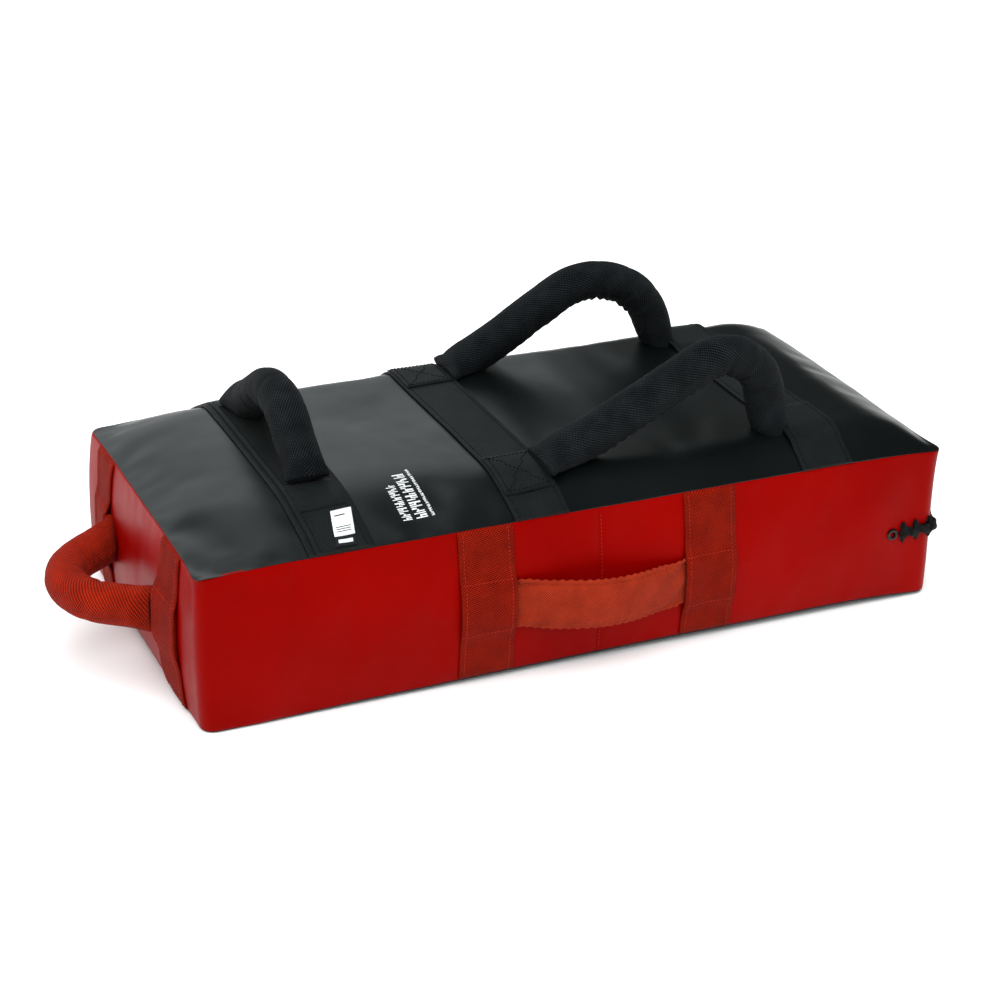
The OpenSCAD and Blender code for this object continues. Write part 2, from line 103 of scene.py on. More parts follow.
# ---------------------------------------------------------------- camera
def aimed(name, data, place, direction):
    """A camera or light at a place, looking along a direction."""
    ob = bpy.data.objects.new(name, data)
    ob.location = place
    ob.rotation_mode = "QUATERNION"
    ob.rotation_quaternion = Vector(direction).to_track_quat("-Z", "Y")
    bpy.context.scene.collection.objects.link(ob)
    return ob


def make_camera():
    """The photograph's own view: 93 mm lens, from the front left, 24.5 degrees above the floor."""
    azimuth, elevation = math.radians(-22.58), math.radians(24.515)
    target, distance = Vector((0.0029, 0.0299, 0.070)), 2.4377
    back = Vector((
        math.sin(azimuth) * math.cos(elevation),
        -math.cos(azimuth) * math.cos(elevation),
        math.sin(elevation),
    ))
    data = bpy.data.cameras.new("camera")
    data.sensor_width = 36
    data.lens = 93.1
    bpy.context.scene.camera = aimed("camera", data, target + back * distance, -back)


# ---------------------------------------------------------------- small maths
def smooth(a, b, x):
    """Soft step from 0 at a to 1 at b."""
    t = np.clip((x - a) / (b - a), 0, 1)
    return t * t * (3 - 2 * t)


def ease(f):
    """Rise of a crowned panel: 0 at the seam, 1 where it is flat."""
    return np.sqrt(np.maximum(1 - (1 - np.clip(f, 0, 1)) ** 2, 0))


def swell(f):
    """Slower rise of the soft crown, from 0 at the seam to 1."""
    return 1 - (1 - np.clip(f, 0, 1)) ** 2.2


def ripple(x, y, size, seed=0.0):
    """Smooth noise from -1 to 1 with bumps about size across."""
    x, y = np.broadcast_arrays(np.asarray(x, float), np.asarray(y, float))
    flat = [
        noise.noise(Vector((a / size, b / size, seed)))
        for a, b in zip(x.ravel(), y.ravel())
    ]
    return np.array(flat).reshape(x.shape)


def unit(v):
    """Vectors scaled to length 1."""
    return v / np.maximum(np.linalg.norm(v, axis=-1, keepdims=True), 1e-12)


def running(lengths):
    """Running total of lengths, starting at 0."""
    return np.concatenate([[0], np.cumsum(lengths)])


def resample(points, step):
    """Points every step along a smooth curve through the given points."""
    p = np.array(points, float)
    p = np.vstack([2 * p[0] - p[1], p, 2 * p[-1] - p[-2]])
    out = []
    for i in range(1, len(p) - 2):
        a, b, c, d = p[i - 1], p[i], p[i + 1], p[i + 2]
        for t in np.linspace(0, 1, 16, endpoint=False):
            out.append(0.5 * (2 * b + (c - a) * t + (2 * a - 5 * b + 4 * c - d) * t * t
                              + (3 * b - a - 3 * c + d) * t ** 3))
    out = np.array(out + [p[-2]])
    s = running(np.linalg.norm(np.diff(out, axis=0), axis=1))
    n = max(int(round(s[-1] / step)), 4)
    at = np.linspace(0, s[-1], n + 1)
    return np.column_stack([np.interp(at, s, out[:, k]) for k in range(out.shape[1])]), at


# ---------------------------------------------------------------- meshes
def make_object(name, verts, faces, material, uvs=None):
    """A smooth-shaded mesh; uvs has one pair for each corner of each face."""
    me = bpy.data.meshes.new(name)
    me.from_pydata(np.asarray(verts).tolist(), [], faces)
    if uvs is not None:
        layer = me.uv_layers.new(name="weave")
        layer.data.foreach_set("uv", np.asarray(uvs, np.float32).ravel())
    me.materials.append(material)
    me.polygons.foreach_set("use_smooth", [True] * len(me.polygons))
    me.update()
    ob = bpy.data.objects.new(name, me)
    bpy.context.scene.collection.objects.link(ob)
    return ob


def face_out(ob):
    """Turns a closed mesh's faces outward."""
    bm = bmesh.new()
    bm.from_mesh(ob.data)
    bmesh.ops.recalc_face_normals(bm, faces=bm.faces)
    bm.to_mesh(ob.data)
    bm.free()
    return ob


def loft_data(rings, caps=True):
    """Faces and corner UVs, in metres, of a skin through closed rings of points."""
    rings = np.asarray(rings, float)
    n, m = rings.shape[:2]
    around = np.linalg.norm(np.diff(np.concatenate([rings, rings[:, :1]], axis=1), axis=1), axis=2)
    us = running(around.mean(axis=0))
    along = np.linalg.norm(np.diff(rings, axis=0), axis=2).mean(axis=1)
    vs = running(along)
    faces, uvs = [], []
    for i in range(n - 1):
        for j in range(m):
            k = (j + 1) % m
            faces.append((i * m + j, i * m + k, (i + 1) * m + k, (i + 1) * m + j))
            uvs += [(us[j], vs[i]), (us[j + 1], vs[i]), (us[j + 1], vs[i + 1]), (us[j], vs[i + 1])]
    if caps:
        faces += [tuple(reversed(range(m))), tuple((n - 1) * m + j for j in range(m))]
        uvs += [(us[j], 0) for j in range(m)] * 2
    return faces, uvs


def loft(name, many, material, caps=True):
    """One piece made of several closed lofts, each a list of rings."""
    verts, faces, uvs = [], [], []
    for rings in many:
        f, t = loft_data(rings, caps)
        base = len(verts)
        verts += list(np.asarray(rings).reshape(-1, 3))
        faces += [tuple(base + i for i in face) for face in f]
        uvs += t
    return face_out(make_object(name, verts, faces, MATERIALS[material], uvs))


def subdivide(ob):
    mod = ob.modifiers.new("smooth", "SUBSURF")
    mod.levels = mod.render_levels = 1


def tree_of(ob):
    return BVHTree.FromObject(ob, bpy.context.evaluated_depsgraph_get())


# ---------------------------------------------------------------- materials
MATERIALS = {}


class Nodes:
    """A short way to write a material's node tree."""

    def __init__(self, name, colour, roughness, **constants):
        self.mat = MATERIALS[name] = bpy.data.materials.new(name)
        self.mat.use_nodes = True
        self.tree = self.mat.node_tree
        self.bsdf = self.tree.nodes["Principled BSDF"]
        self.set(self.bsdf, "Base Color", (*colour, 1))
        self.set(self.bsdf, "Roughness", roughness)
        for key, value in constants.items():
            self.set(self.bsdf, key.replace("_", " "), value)

    def set(self, node, socket, value):
        if isinstance(value, bpy.types.NodeSocket):
            self.tree.links.new(value, node.inputs[socket])
        else:
            node.inputs[socket].default_value = value

    def node(self, kind, out=0, props=(), **inputs):
        n = self.tree.nodes.new("ShaderNode" + kind)
        for key, value in dict(props).items():
            setattr(n, key, value)
        for key, value in inputs.items():
            self.set(n, int(key[1:]) if key[1:].isdigit() else key.replace("_", " "), value)
        return n.outputs[out]

    def math(self, op, a, b=0.0, c=0.0):
        return self.node("Math", props={"operation": op}, i0=a, i1=b, i2=c)

    def place(self):
        return self.node("TexCoord", out=3)

    def weave_uv(self):
        uv = self.node("UVMap", props={"uv_map": "weave"})
        n = self.tree.nodes.new("ShaderNodeSeparateXYZ")
        self.set(n, 0, uv)
        return n.outputs[0], n.outputs[1]

    def noise(self, scale, detail, roughness=0.5):
        return self.node("TexNoise", Vector=self.place(), Scale=scale, Detail=detail, Roughness=roughness)

    def ramp(self, value, low, high, colour_a, colour_b):
        f = self.node("MapRange", Value=value, From_Min=low, From_Max=high)
        colours = {"i6": (*colour_a, 1), "i7": (*colour_b, 1)}
        return self.node("Mix", out=2, props={"data_type": "RGBA"}, Factor=f, **colours)

    def bump(self, height, distance, strength, normal=None):
        more = {} if normal is None else {"Normal": normal}
        out = self.node("Bump", Strength=strength, Distance=distance, Height=height, **more)
        self.set(self.bsdf, "Normal", out)
        return out


def vinyl(name, dark, light, roughness, gloss, tint=(1, 1, 1, 1)):
    """Coated cloth: fine pebble grain, faint waves, slight change of colour and gloss."""
    m = Nodes(name, light, roughness, Specular_IOR_Level=gloss, Specular_Tint=tint)
    pebble = m.node("TexVoronoi", Vector=m.place(), Scale=950.0)
    waves = m.noise(28.0, 2.0)
    normal = m.bump(waves, 0.3 * MM, 0.35)
    m.bump(pebble, 0.05 * MM, 0.6, normal)
    m.set(m.bsdf, "Base Color", m.ramp(m.noise(7.0, 4.0), 0.35, 0.7, dark, light))
    patches = m.noise(40.0, 4.0)
    uneven = m.node("MapRange", Value=patches, To_Min=roughness - 0.05, To_Max=roughness + 0.07)
    m.set(m.bsdf, "Roughness", uneven)


def cloth(name, dark, light, pitch_u, pitch_v, depth, slant=0.0, roughness=0.8, gloss=0.05, low=0.40):
    """Woven webbing: threads pitch_u mm across and pitch_v mm along; painted highlight on their crowns and
    painted shade in the hollows between them, deeper as low rises.
    """
    m = Nodes(name, light, roughness, Specular_IOR_Level=gloss, Sheen_Weight=0.015, Sheen_Roughness=0.5)
    u, v = m.weave_uv()
    leaning_u = m.math("ADD", u, m.math("MULTIPLY", v, slant))
    across = m.math("SINE", m.math("MULTIPLY", leaning_u, 2 * math.pi / (pitch_u * MM)))
    along = m.math("SINE", m.math("MULTIPLY", v, 2 * math.pi / (pitch_v * MM)))
    weave = m.math("MULTIPLY_ADD", m.math("MULTIPLY", across, along), 0.5, 0.5)
    fuzz = m.noise(1400.0, 2.0)
    height = m.math("MULTIPLY_ADD", fuzz, 0.5, weave)
    m.bump(height, depth * MM, 0.9)
    # thread tone varies at random, plus painted light: the weave's height lightens the crowns and darkens the
    # hollows
    tone_and_painted_crown_light = m.math("MULTIPLY_ADD", m.noise(60.0, 4.0), 0.3, m.math("MULTIPLY", height, 0.65))
    m.set(m.bsdf, "Base Color", m.ramp(tone_and_painted_crown_light, low, 0.95, dark, light))


def plain(name, dark, light, roughness, scale, depth, **constants):
    """A fine-grained surface for small parts; depth is in mm."""
    m = Nodes(name, light, roughness, **constants)
    grain = m.noise(scale, 5.0, 0.6)
    m.bump(grain, depth * MM, 0.8)
    m.set(m.bsdf, "Base Color", m.ramp(grain, 0.35, 0.65, dark, light))


vinyl("back_vinyl", (0.0018, 0.0026, 0.0026), (0.0034, 0.0048, 0.0048), 0.33, 0.5)
vinyl("strike_vinyl", (0.006, 0.006, 0.007), (0.011, 0.011, 0.012), 0.36, 0.3)
vinyl("wall_vinyl", (0.185, 0.0003, 0.0001), (0.235, 0.0006, 0.0002), 0.42, 0.10, (1, 0.16, 0.10, 1))
vinyl("flap_vinyl", (0.003, 0.003, 0.003), (0.006, 0.006, 0.006), 0.6, 0.1)
cloth("black_webbing", (0.0016, 0.0022, 0.0022), (0.0105, 0.0135, 0.0135), 1.9, 2.6, 0.3,
      roughness=0.6, gloss=0.2)
cloth("red_webbing", (0.045, 0.0006, 0.0002), (0.31, 0.012, 0.002), 3.0, 2.3, 0.6, slant=0.3)
# the grip's higher low paints more of its weave hollows in full shade
cloth("grip_cloth", (0.0005, 0.0007, 0.0008), (0.020, 0.025, 0.028), 2.8, 2.1, 0.5,
      slant=0.5, gloss=0.1, low=0.58)
cloth("handle_cloth", (0.05, 0.0008, 0.0003), (0.40, 0.020, 0.004), 4.2, 2.2, 0.8, slant=0.5)
cloth("flat_webbing", (0.08, 0.004, 0.0015), (0.46, 0.042, 0.014), 2.2, 1.9, 0.5, slant=0.3)
plain("label_weave", (0.55, 0.58, 0.58), (0.75, 0.78, 0.78), 0.8, 900.0, 0.08)
plain("label_ink", (0.006, 0.007, 0.008), (0.012, 0.014, 0.015), 0.8, 900.0, 0.05)
plain("print_ink", (0.55, 0.58, 0.58), (0.72, 0.75, 0.75), 0.6, 700.0, 0.03)
plain("black_thread", (0.0008, 0.0009, 0.0010), (0.0030, 0.0035, 0.0040), 0.7, 2500.0, 0.1,
      Specular_IOR_Level=0.2)
plain("red_thread", (0.16, 0.005, 0.003), (0.38, 0.02, 0.01), 0.7, 2500.0, 0.1, Specular_IOR_Level=0.2)
plain("eyelet_metal", (0.002, 0.002, 0.0025), (0.004, 0.004, 0.005), 0.38, 300.0, 0.03, Metallic=0.2)
cloth("lace_cord", (0.002, 0.002, 0.002), (0.010, 0.010, 0.011), 0.9, 1.2, 0.2, slant=1.0, gloss=0.15)


def finish_piece(ob, slot, *nodes):
    """The piece rides on the pad and stands for CAD nodes; slot is not used."""
    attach(ob, "pad")
    if nodes:
        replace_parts(ob, *nodes)
    return ob


# ---------------------------------------------------------------- the pad's shape
def corner_share(x, y):
    """1 at an upright corner of the pad, falling to 0 along its sides."""
    d = np.hypot(HALF_L - np.abs(x), HALF_W - np.abs(y))
    return np.exp(-(d / (45 * MM)) ** 1.5)


def seam_height(x, y):
    return SEAM_Z - 2.5 * MM * corner_share(x, y) + 0.9 * MM * ripple(x, y, 60 * MM, seed=3.0)


def strike_height(x, y):
    """Height of the lower seam: nearly on the floor round the left end."""
    drop = 4.5 * MM * corner_share(x, y) + 5.2 * MM * np.exp(-((np.maximum(HALF_L + x, 0) / (230 * MM)) ** 2))
    return np.maximum(STRIKE_Z - drop + 0.4 * MM * ripple(x, y, 70 * MM, seed=5.0), 0.9 * MM)


def rounded(x, y):
    """Moves a place in the pad's rectangle so that its corners are round."""
    a = np.maximum(np.abs(x) - CORNER_X, 0)
    b = np.maximum(np.abs(y) - CORNER_Y, 0)
    r = np.maximum(a, b)
    safe = np.where(r > 0, r, 1)
    low = np.minimum(a, b) / safe * math.pi / 4
    angle = np.where(a >= b, low, math.pi / 2 - low)
    both = (a > 0) & (b > 0)
    qx = np.where(both, CORNER_X + r * np.cos(angle), np.abs(x))
    qy = np.where(both, CORNER_Y + r * np.sin(angle), np.abs(y))
    return np.sign(x) * qx, np.sign(y) * qy


def panel_marks(half, run):
    """Places across a panel: close together near its seams."""
    near = np.array([0, 0.6, 1.6, 3.2, 5.4, 8.2, 11.6, 15.6, 20.2, 25.4, 31, 37.5]) * MM
    near = near[near < run]
    inner = half - run
    n = int(round(2 * inner / (7 * MM)))
    side = half - near
    return np.concatenate([-side, np.linspace(-inner, inner, n + 1), side[::-1]])


def back_z(x, y):
    """Height of the back panel at a place in the pad's rectangle."""
    dx, dy = HALF_L - np.abs(x), HALF_W - np.abs(y)
    # the foam is worn softer at the left end, so the crown rises more slowly there
    front_run = (50 + 78 * smooth(120 * MM, -260 * MM, x)) * MM
    rear_run = (48 + 22 * smooth(-150 * MM, -300 * MM, x)) * MM
    rise = swell(dx / np.where(x < 0, 112 * MM, 66 * MM)) * swell(dy / np.where(y < 0, front_run, rear_run))
    base = seam_height(x, y)
    z = base + (TOP_Z - base) * rise
    # soft waves over the foam and puckers that run in from the seams
    inside = smooth(0, 30 * MM, np.minimum(dx, dy))
    z = z + 0.9 * MM * inside * ripple(x, y, 110 * MM, seed=1.0)
    edge = np.exp(-np.minimum(dx, dy) / (22 * MM)) * smooth(0, 4 * MM, np.minimum(dx, dy))
    along = np.where(dx < dy, y, x)
    across = np.minimum(dx, dy)
    z = z + 1.1 * MM * edge * ripple(along, across * 0.35, 16 * MM, seed=7.0)
    left = smooth(-230 * MM, -330 * MM, x)
    z = z + 1.5 * MM * left * inside * ripple(x * 0.5, y, 30 * MM, seed=9.0)
    return z


def strike_z(x, y):
    dx, dy = HALF_L - np.abs(x), HALF_W - np.abs(y)
    fall = ease(dx / STRIKE_RUN) * ease(dy / STRIKE_RUN)
    base = strike_height(x, y)
    edge = np.exp(-np.minimum(dx, dy) / (12 * MM)) * smooth(0, 4 * MM, np.minimum(dx, dy))
    z = base * (1 - fall) + 0.5 * MM * edge * (1 + ripple(x, y, 20 * MM, seed=11.0))
    return np.where(fall > 0.999, 0, np.maximum(z, 0))


def near_corner(x, y, side, reach):
    """1 at a corner on the front side, falling to 0 within reach of it."""
    return np.exp(-(np.hypot(x - side * HALF_L, y + HALF_W) / reach) ** 1.6)


def panel(name, height, run, turn_in, material):
    """One crowned face of the cover with its edges folded in behind the seam."""
    xs, ys = panel_marks(HALF_L, run), panel_marks(HALF_W, run)
    gx, gy = np.meshgrid(xs, ys, indexing="ij")
    z = height(gx, gy)
    px, py = rounded(gx, gy)
    if name == "back_cover":
        # the near left corner is pulled out to a soft ear
        ear = near_corner(gx, gy, -1, 17 * MM)
        px, py = px - 2.6 * MM * ear, py - 2.2 * MM * ear
        z = z + ear * (0.9 * MM * np.sin((gx - gy) / (5.5 * MM)) + 0.6 * MM)
        flare = near_corner(px, py, 1, FLARE_REACH)
        px, py = px + FLARE_OUT * flare, py - FLARE_OUT / 2 * flare
    grid = np.stack([px, py, z], axis=2)
    n, m = grid.shape[:2]
    faces = [(i * m + j, (i + 1) * m + j, (i + 1) * m + j + 1, i * m + j + 1)
             for i in range(n - 1) for j in range(m - 1)]
    rim = ([(i, 0) for i in range(n)] + [(n - 1, j) for j in range(1, m)]
           + [(i, m - 1) for i in range(n - 2, -1, -1)] + [(0, j) for j in range(m - 2, 0, -1)])
    verts = list(grid.reshape(-1, 3))
    start = len(verts)
    for i, j in rim:
        p = grid[i, j].copy()
        p[0] -= np.sign(p[0]) * FOLD if abs(gx[i, j]) > CORNER_X else 0
        p[1] -= np.sign(p[1]) * FOLD if abs(gy[i, j]) > CORNER_Y else 0
        p[2] += turn_in
        verts.append(p)
    count = len(rim)
    for k in range(count):
        a, b = rim[k], rim[(k + 1) % count]
        faces.append((b[0] * m + b[1], a[0] * m + a[1], start + k, start + (k + 1) % count))
    return make_object(name, verts, faces, material)


def wall_out(f, share, x):
    """How far a wall stands out at fraction f of its height; the left end hangs fuller and lower."""
    f = np.clip(f, 0, 1)
    left = smooth(-250 * MM, -HALF_L + CORNER_R, x)
    even = np.sin(np.pi * f) ** 0.8
    low = np.sin(np.pi * f ** 0.72) ** 0.62
    return BULGE * share * ((1 - left) * even + 1.25 * left * low)


def near_arc(side):
    """Rows of x, y and outward normal round the near corner on one side."""
    return [(side * (CORNER_X + CORNER_R * math.cos(a)), -CORNER_Y + CORNER_R * math.sin(a),
             side * math.cos(a), math.sin(a)) for a in np.radians(np.linspace(-90, 0, 9))]


def half_route(side):
    """Places along one wall panel, from the front seam round an end to the rear seam.
    Each is x, y, outward normal and distance from the nearest corner."""
    step = 5 * MM
    n = int(round((CORNER_X - side * WALL_SEAM_X) / step))
    front = np.linspace(side * WALL_SEAM_X, CORNER_X, n + 1)[:-1]
    half = [(side * x, -HALF_W, 0, -1, HALF_L - x) for x in front]
    half += [(*row, CORNER_R) for row in near_arc(side)]
    m = int(round(2 * CORNER_Y / step))
    ys = np.linspace(-CORNER_Y, CORNER_Y, m + 1)[1:-1]
    end = [(side * HALF_L, y, side, 0, HALF_W - abs(y)) for y in ys]
    return np.array(half + end + [(x, -y, nx, -ny, d) for x, y, nx, ny, d in reversed(half)])


SLIT_HALF = 1.4 * MM
# size of the near right corner's flare and how far it stands out
FLARE_REACH, FLARE_OUT = 24 * MM, 6 * MM


def wall_heights():
    """Fractions of the wall height, close together at the seams and the slit."""
    h = SEAM_Z - STRIKE_Z
    near = np.array([0, 0.8, 2.2, 4.4, 7.5, 11.5, 16]) * MM / h
    slit = (SLIT_Z - STRIKE_Z) / h
    lip = SLIT_HALF / h
    return np.concatenate([near, np.linspace(0.17, slit - lip - 0.04, 6), [slit - lip, slit, slit + lip],
                           np.linspace(slit + lip + 0.04, 0.83, 7), (1 - near)[::-1]])


def wall_panel(side, name, material):
    """Half of the upright wall, bulged, with folded seams and the laced slit at the right end."""
    route = half_route(side)
    x, y, nx, ny, d = [route[:, k][:, None] for k in range(5)]
    f = wall_heights()[None, :]
    lo, hi = strike_height(x, y), seam_height(x, y)
    z = lo + (hi - lo) * f + np.where(f < 0.5, 0.4, -0.4) * MM
    share = 0.25 + 0.75 * smooth(CORNER_R, 75 * MM, d)
    run = running(np.hypot(*np.diff(route[:, :2], axis=0).T))[:, None]
    rear_left = smooth(-HALF_L + 30 * MM, -HALF_L + CORNER_R, x) * smooth(60 * MM, 150 * MM, y)
    share = np.maximum(share, 0.95 * rear_left)
    out = wall_out(f, share, x)
    body = np.sin(np.pi * f) ** 0.6
    out = out + 0.6 * MM * body * ripple(run + 3 * side, z, 75 * MM, seed=13.0)
    gap = np.minimum(f, 1 - f) * (SEAM_Z - STRIKE_Z)
    puckers = np.exp(-gap / (16 * MM)) * smooth(0, 3 * MM, gap) * ripple(run, z * 0.3, 14 * MM, seed=17.0)
    out = out + 0.5 * MM * puckers
    from_seam = np.minimum(run, run[-1] - run)
    out = out - 0.9 * MM * np.exp(-(from_seam / (2.2 * MM)) ** 2)
    # the near right corner flares out at its top
    flare = FLARE_OUT * near_corner(x, y, 1, FLARE_REACH) * np.exp(-(hi - z) / (28 * MM))
    grid = np.stack([x + nx * out + flare, y + ny * out - flare / 2, z + 0 * x], axis=2)
    inside_x, inside_y = x - nx * FOLD, y - ny * FOLD
    low = np.stack([inside_x, inside_y, lo + 0.2 * MM], axis=2)
    top = flare[:, -1:]
    high = np.stack([inside_x + top, inside_y - top / 2, hi - 0.2 * MM], axis=2)
    grid = np.concatenate([low, grid, high], axis=1)
    n, m = grid.shape[:2]
    faces = []
    for i in range(n - 1):
        for j in range(m - 1):
            mid = (grid[i, j] + grid[i + 1, j + 1]) / 2
            if side > 0 and mid[0] > SLIT_X and abs(mid[2] - SLIT_Z) < 0.95 * SLIT_HALF:
                continue
            quad = (i * m + j, (i + 1) * m + j, (i + 1) * m + j + 1, i * m + j + 1)
            faces.append(quad if side > 0 else quad[::-1])
    return make_object(name, grid.reshape(-1, 3), faces, material)


# ---------------------------------------------------------------- the cover
CLOTH_VALUES = {
    "quality": 6,
    "mass": 0.25,
    "tension_stiffness": 18,
    "compression_stiffness": 18,
    "shear_stiffness": 8,
    "bending_stiffness": 0.8,
    "air_damping": 4,
    "use_pressure": True,
}
CLOTH_FRAMES = 18
CLOTH_SMOOTHINGS = 2


def settle(ob, slack, pressure, cap):
    """Cloth simulation of one cover panel: its seams are pinned, the cloth has some slack and the foam
    behind presses it out. The movement is capped, applied and lightly smoothed."""
    me = ob.data
    count = len(me.vertices)
    rest = np.zeros(count * 3)
    me.vertices.foreach_get("co", rest)
    rest = rest.reshape(-1, 3)
    edges = {}
    for poly in me.polygons:
        for key in poly.edge_keys:
            edges[key] = edges.get(key, 0) + 1
    rim = {v for key, n in edges.items() if n == 1 for v in key}
    rim |= {v for key in edges for v in key if rim & set(key)}
    pins = ob.vertex_groups.new(name="pins")
    pins.add(sorted(rim), 1.0, "REPLACE")
    mod = ob.modifiers.new("cloth", "CLOTH")
    for key, value in CLOTH_VALUES.items():
        setattr(mod.settings, key, value)
    mod.settings.vertex_group_mass = "pins"
    mod.settings.shrink_min = -slack
    mod.settings.uniform_pressure_force = pressure
    mod.settings.effector_weights.gravity = 0
    mod.collision_settings.use_collision = False
    scene = bpy.context.scene
    for frame_number in range(1, CLOTH_FRAMES + 1):
        scene.frame_set(frame_number)
    moved = np.zeros(count * 3)
    ob.evaluated_get(bpy.context.evaluated_depsgraph_get()).data.vertices.foreach_get("co", moved)
    ob.modifiers.remove(mod)
    scene.frame_set(1)
    step = moved.reshape(-1, 3) - rest
    size = np.linalg.norm(step, axis=1, keepdims=True)
    step *= np.minimum(1, cap / np.maximum(size, 1e-9))
    near_by = np.array(list(edges))
    for _ in range(CLOTH_SMOOTHINGS):
        total, weight = step.copy(), np.ones((count, 1))
        for a, b in ((0, 1), (1, 0)):
            np.add.at(total, near_by[:, a], step[near_by[:, b]])
            np.add.at(weight, near_by[:, a], 1.0)
        step = total / weight
    step[sorted(rim)] = 0
    me.vertices.foreach_set("co", (rest + step).ravel())
    ob.vertex_groups.clear()
    me.update()


def make_cover():
    """Four cover panels over the foam block; each stands for its CAD panel and the foam behind it."""
    parts = {
        "back_cover": panel("back_cover", back_z, CROWN_RUN, -2.6 * MM, MATERIALS["back_vinyl"]),
        "strike_cover": panel("strike_cover", strike_z, STRIKE_RUN, 2.6 * MM, MATERIALS["strike_vinyl"]),
        "wall_cover_left": wall_panel(-1, "wall_cover_left", MATERIALS["wall_vinyl"]),
        "wall_cover_right": wall_panel(1, "wall_cover_right", MATERIALS["wall_vinyl"]),
    }
    stands_for = {
        "back_cover": ("back_vinyl", "back_panel", "back_foam"),
        "strike_cover": ("strike_vinyl", "strike_panel", "strike_foam"),
        "wall_cover_left": ("wall_vinyl", "wall_panel_left", "core_foam"),
        "wall_cover_right": ("wall_vinyl", "wall_panel_right"),
    }
    settle(parts["back_cover"], slack=0.0035, pressure=0.10, cap=1.6 * MM)
    for name in ("wall_cover_left", "wall_cover_right"):
        settle(parts[name], slack=0.0015, pressure=0.08, cap=1.5 * MM)
    for name, ob in parts.items():
        subdivide(ob)
        slot, *nodes = stands_for[name]
        finish_piece(ob, slot, *nodes)
    return parts


# rays from above end before they reach the strike panel
RAY_START_Z = 0.4
RAY_LENGTH = 0.27


def top_height(x, y):
    """Height of the finished back cover, found on its mesh."""
    gx, gy = np.broadcast_arrays(np.asarray(x, float), np.asarray(y, float))
    z = back_z(np.clip(gx, -HALF_L, HALF_L), np.clip(gy, -HALF_W, HALF_W))
    for i in np.ndindex(gx.shape):
        above = Vector((gx[i], gy[i], RAY_START_Z))
        point, _, _, _ = TOP[0].ray_cast(above, Vector((0, 0, -1)), RAY_LENGTH)
        if point is not None:
            z[i] = point.z
    return z


def on_top(x, y):
    """Grid of points and normals on the back cover."""
    gx, gy = np.broadcast_arrays(np.asarray(x, float), np.asarray(y, float))
    e = 0.9 * MM
    xa, xb = np.clip(gx - e, -HALF_L, HALF_L), np.clip(gx + e, -HALF_L, HALF_L)
    ya, yb = np.clip(gy - e, -HALF_W, HALF_W), np.clip(gy + e, -HALF_W, HALF_W)
    zx = (top_height(xb, gy) - top_height(xa, gy)) / (xb - xa)
    zy = (top_height(gx, yb) - top_height(gx, ya)) / (yb - ya)
    normals = unit(np.stack([-zx, -zy, np.ones_like(zx)], axis=-1))
    return np.stack([gx, gy, top_height(gx, gy)], axis=-1), normals


OUTWARD = {"front": Vector((0, -1, 0)), "rear": Vector((0, 1, 0)), "end": Vector((-1, 0, 0))}


class Walls:
    """Finds places on the finished wall covers."""

    def __init__(self, parts):
        self.trees = [tree_of(parts["wall_cover_left"]), tree_of(parts["wall_cover_right"])]

    def hit(self, start, direction):
        """The nearest place on a wall cover along a ray, or None."""
        found = [tree.ray_cast(start, direction) for tree in self.trees]
        found = [hit for hit in found if hit[0] is not None]
        return min(found, key=lambda hit: hit[3])[0] if found else None

    def grid(self, wall, along, heights):
        """Points and normals on one wall; heights are fractions between its two seams."""
        out = OUTWARD[wall]
        points = np.zeros((len(heights), len(along), 3))
        for j, a in enumerate(along):
            x, y = (-HALF_L, a) if wall == "end" else (a, out.y * HALF_W)
            lo, hi = strike_height(x, y) + 0.8 * MM, seam_height(x, y) - 0.8 * MM
            for i, f in enumerate(heights):
                z = float(lo + (hi - lo) * f)
                start = Vector((x, y, z)) + out * 0.1
                points[i, j] = self.hit(start, -out) or (Vector((x, y, z)) + out * 2 * MM)
        normals = np.broadcast_to(np.array(out), points.shape)
        return points, normals


def strip_rings(points, normals, thickness, lift):
    """Closed rings round a strip of cloth laid on a grid of points, along then across."""
    shape = points.shape[:2]
    low = points + normals * np.broadcast_to(lift, shape)[..., None]
    high = low + normals * np.broadcast_to(thickness, shape)[..., None]
    side = unit(points[:, -1:] - points[:, :1]) * 0.35 * MM
    edge = (low + high) / 2
    return np.concatenate([edge[:, :1] - side, high, edge[:, -1:] + side, low[:, ::-1]], axis=1)


def strip(name, grid, thickness, lift, material, *nodes, slot=None):
    """A strip of cloth laid on a grid of points and normals, as a finished piece.
    Its slot is not used."""
    ob = loft(name, [strip_rings(*grid, thickness, lift)], material)
    return finish_piece(ob, slot or material, *nodes)


# ---------------------------------------------------------------- stitching
def polyline(points, normals, pitch):
    """Places every pitch along a line, with its direction and normal."""
    points, normals = np.asarray(points, float), np.asarray(normals, float)
    s = running(np.linalg.norm(np.diff(points, axis=0), axis=1))
    at = np.arange(pitch * 0.6, s[-1] - pitch * 0.5, pitch)
    p = np.column_stack([np.interp(at, s, points[:, k]) for k in range(3)])
    n = unit(np.column_stack([np.interp(at, s, normals[:, k]) for k in range(3)]))
    q = np.column_stack([np.interp(at + 0.2 * MM, s, points[:, k]) for k in range(3)])
    return p, unit(q - p), n


# rings of one stitch: place along it, size and height, as shares of its length and radius
THREAD_RINGS = ((-0.5, 0.35, -0.5), (-0.3, 0.9, 0.25), (0, 1.0, 0.55), (0.3, 0.9, 0.25), (0.5, 0.35, -0.5))


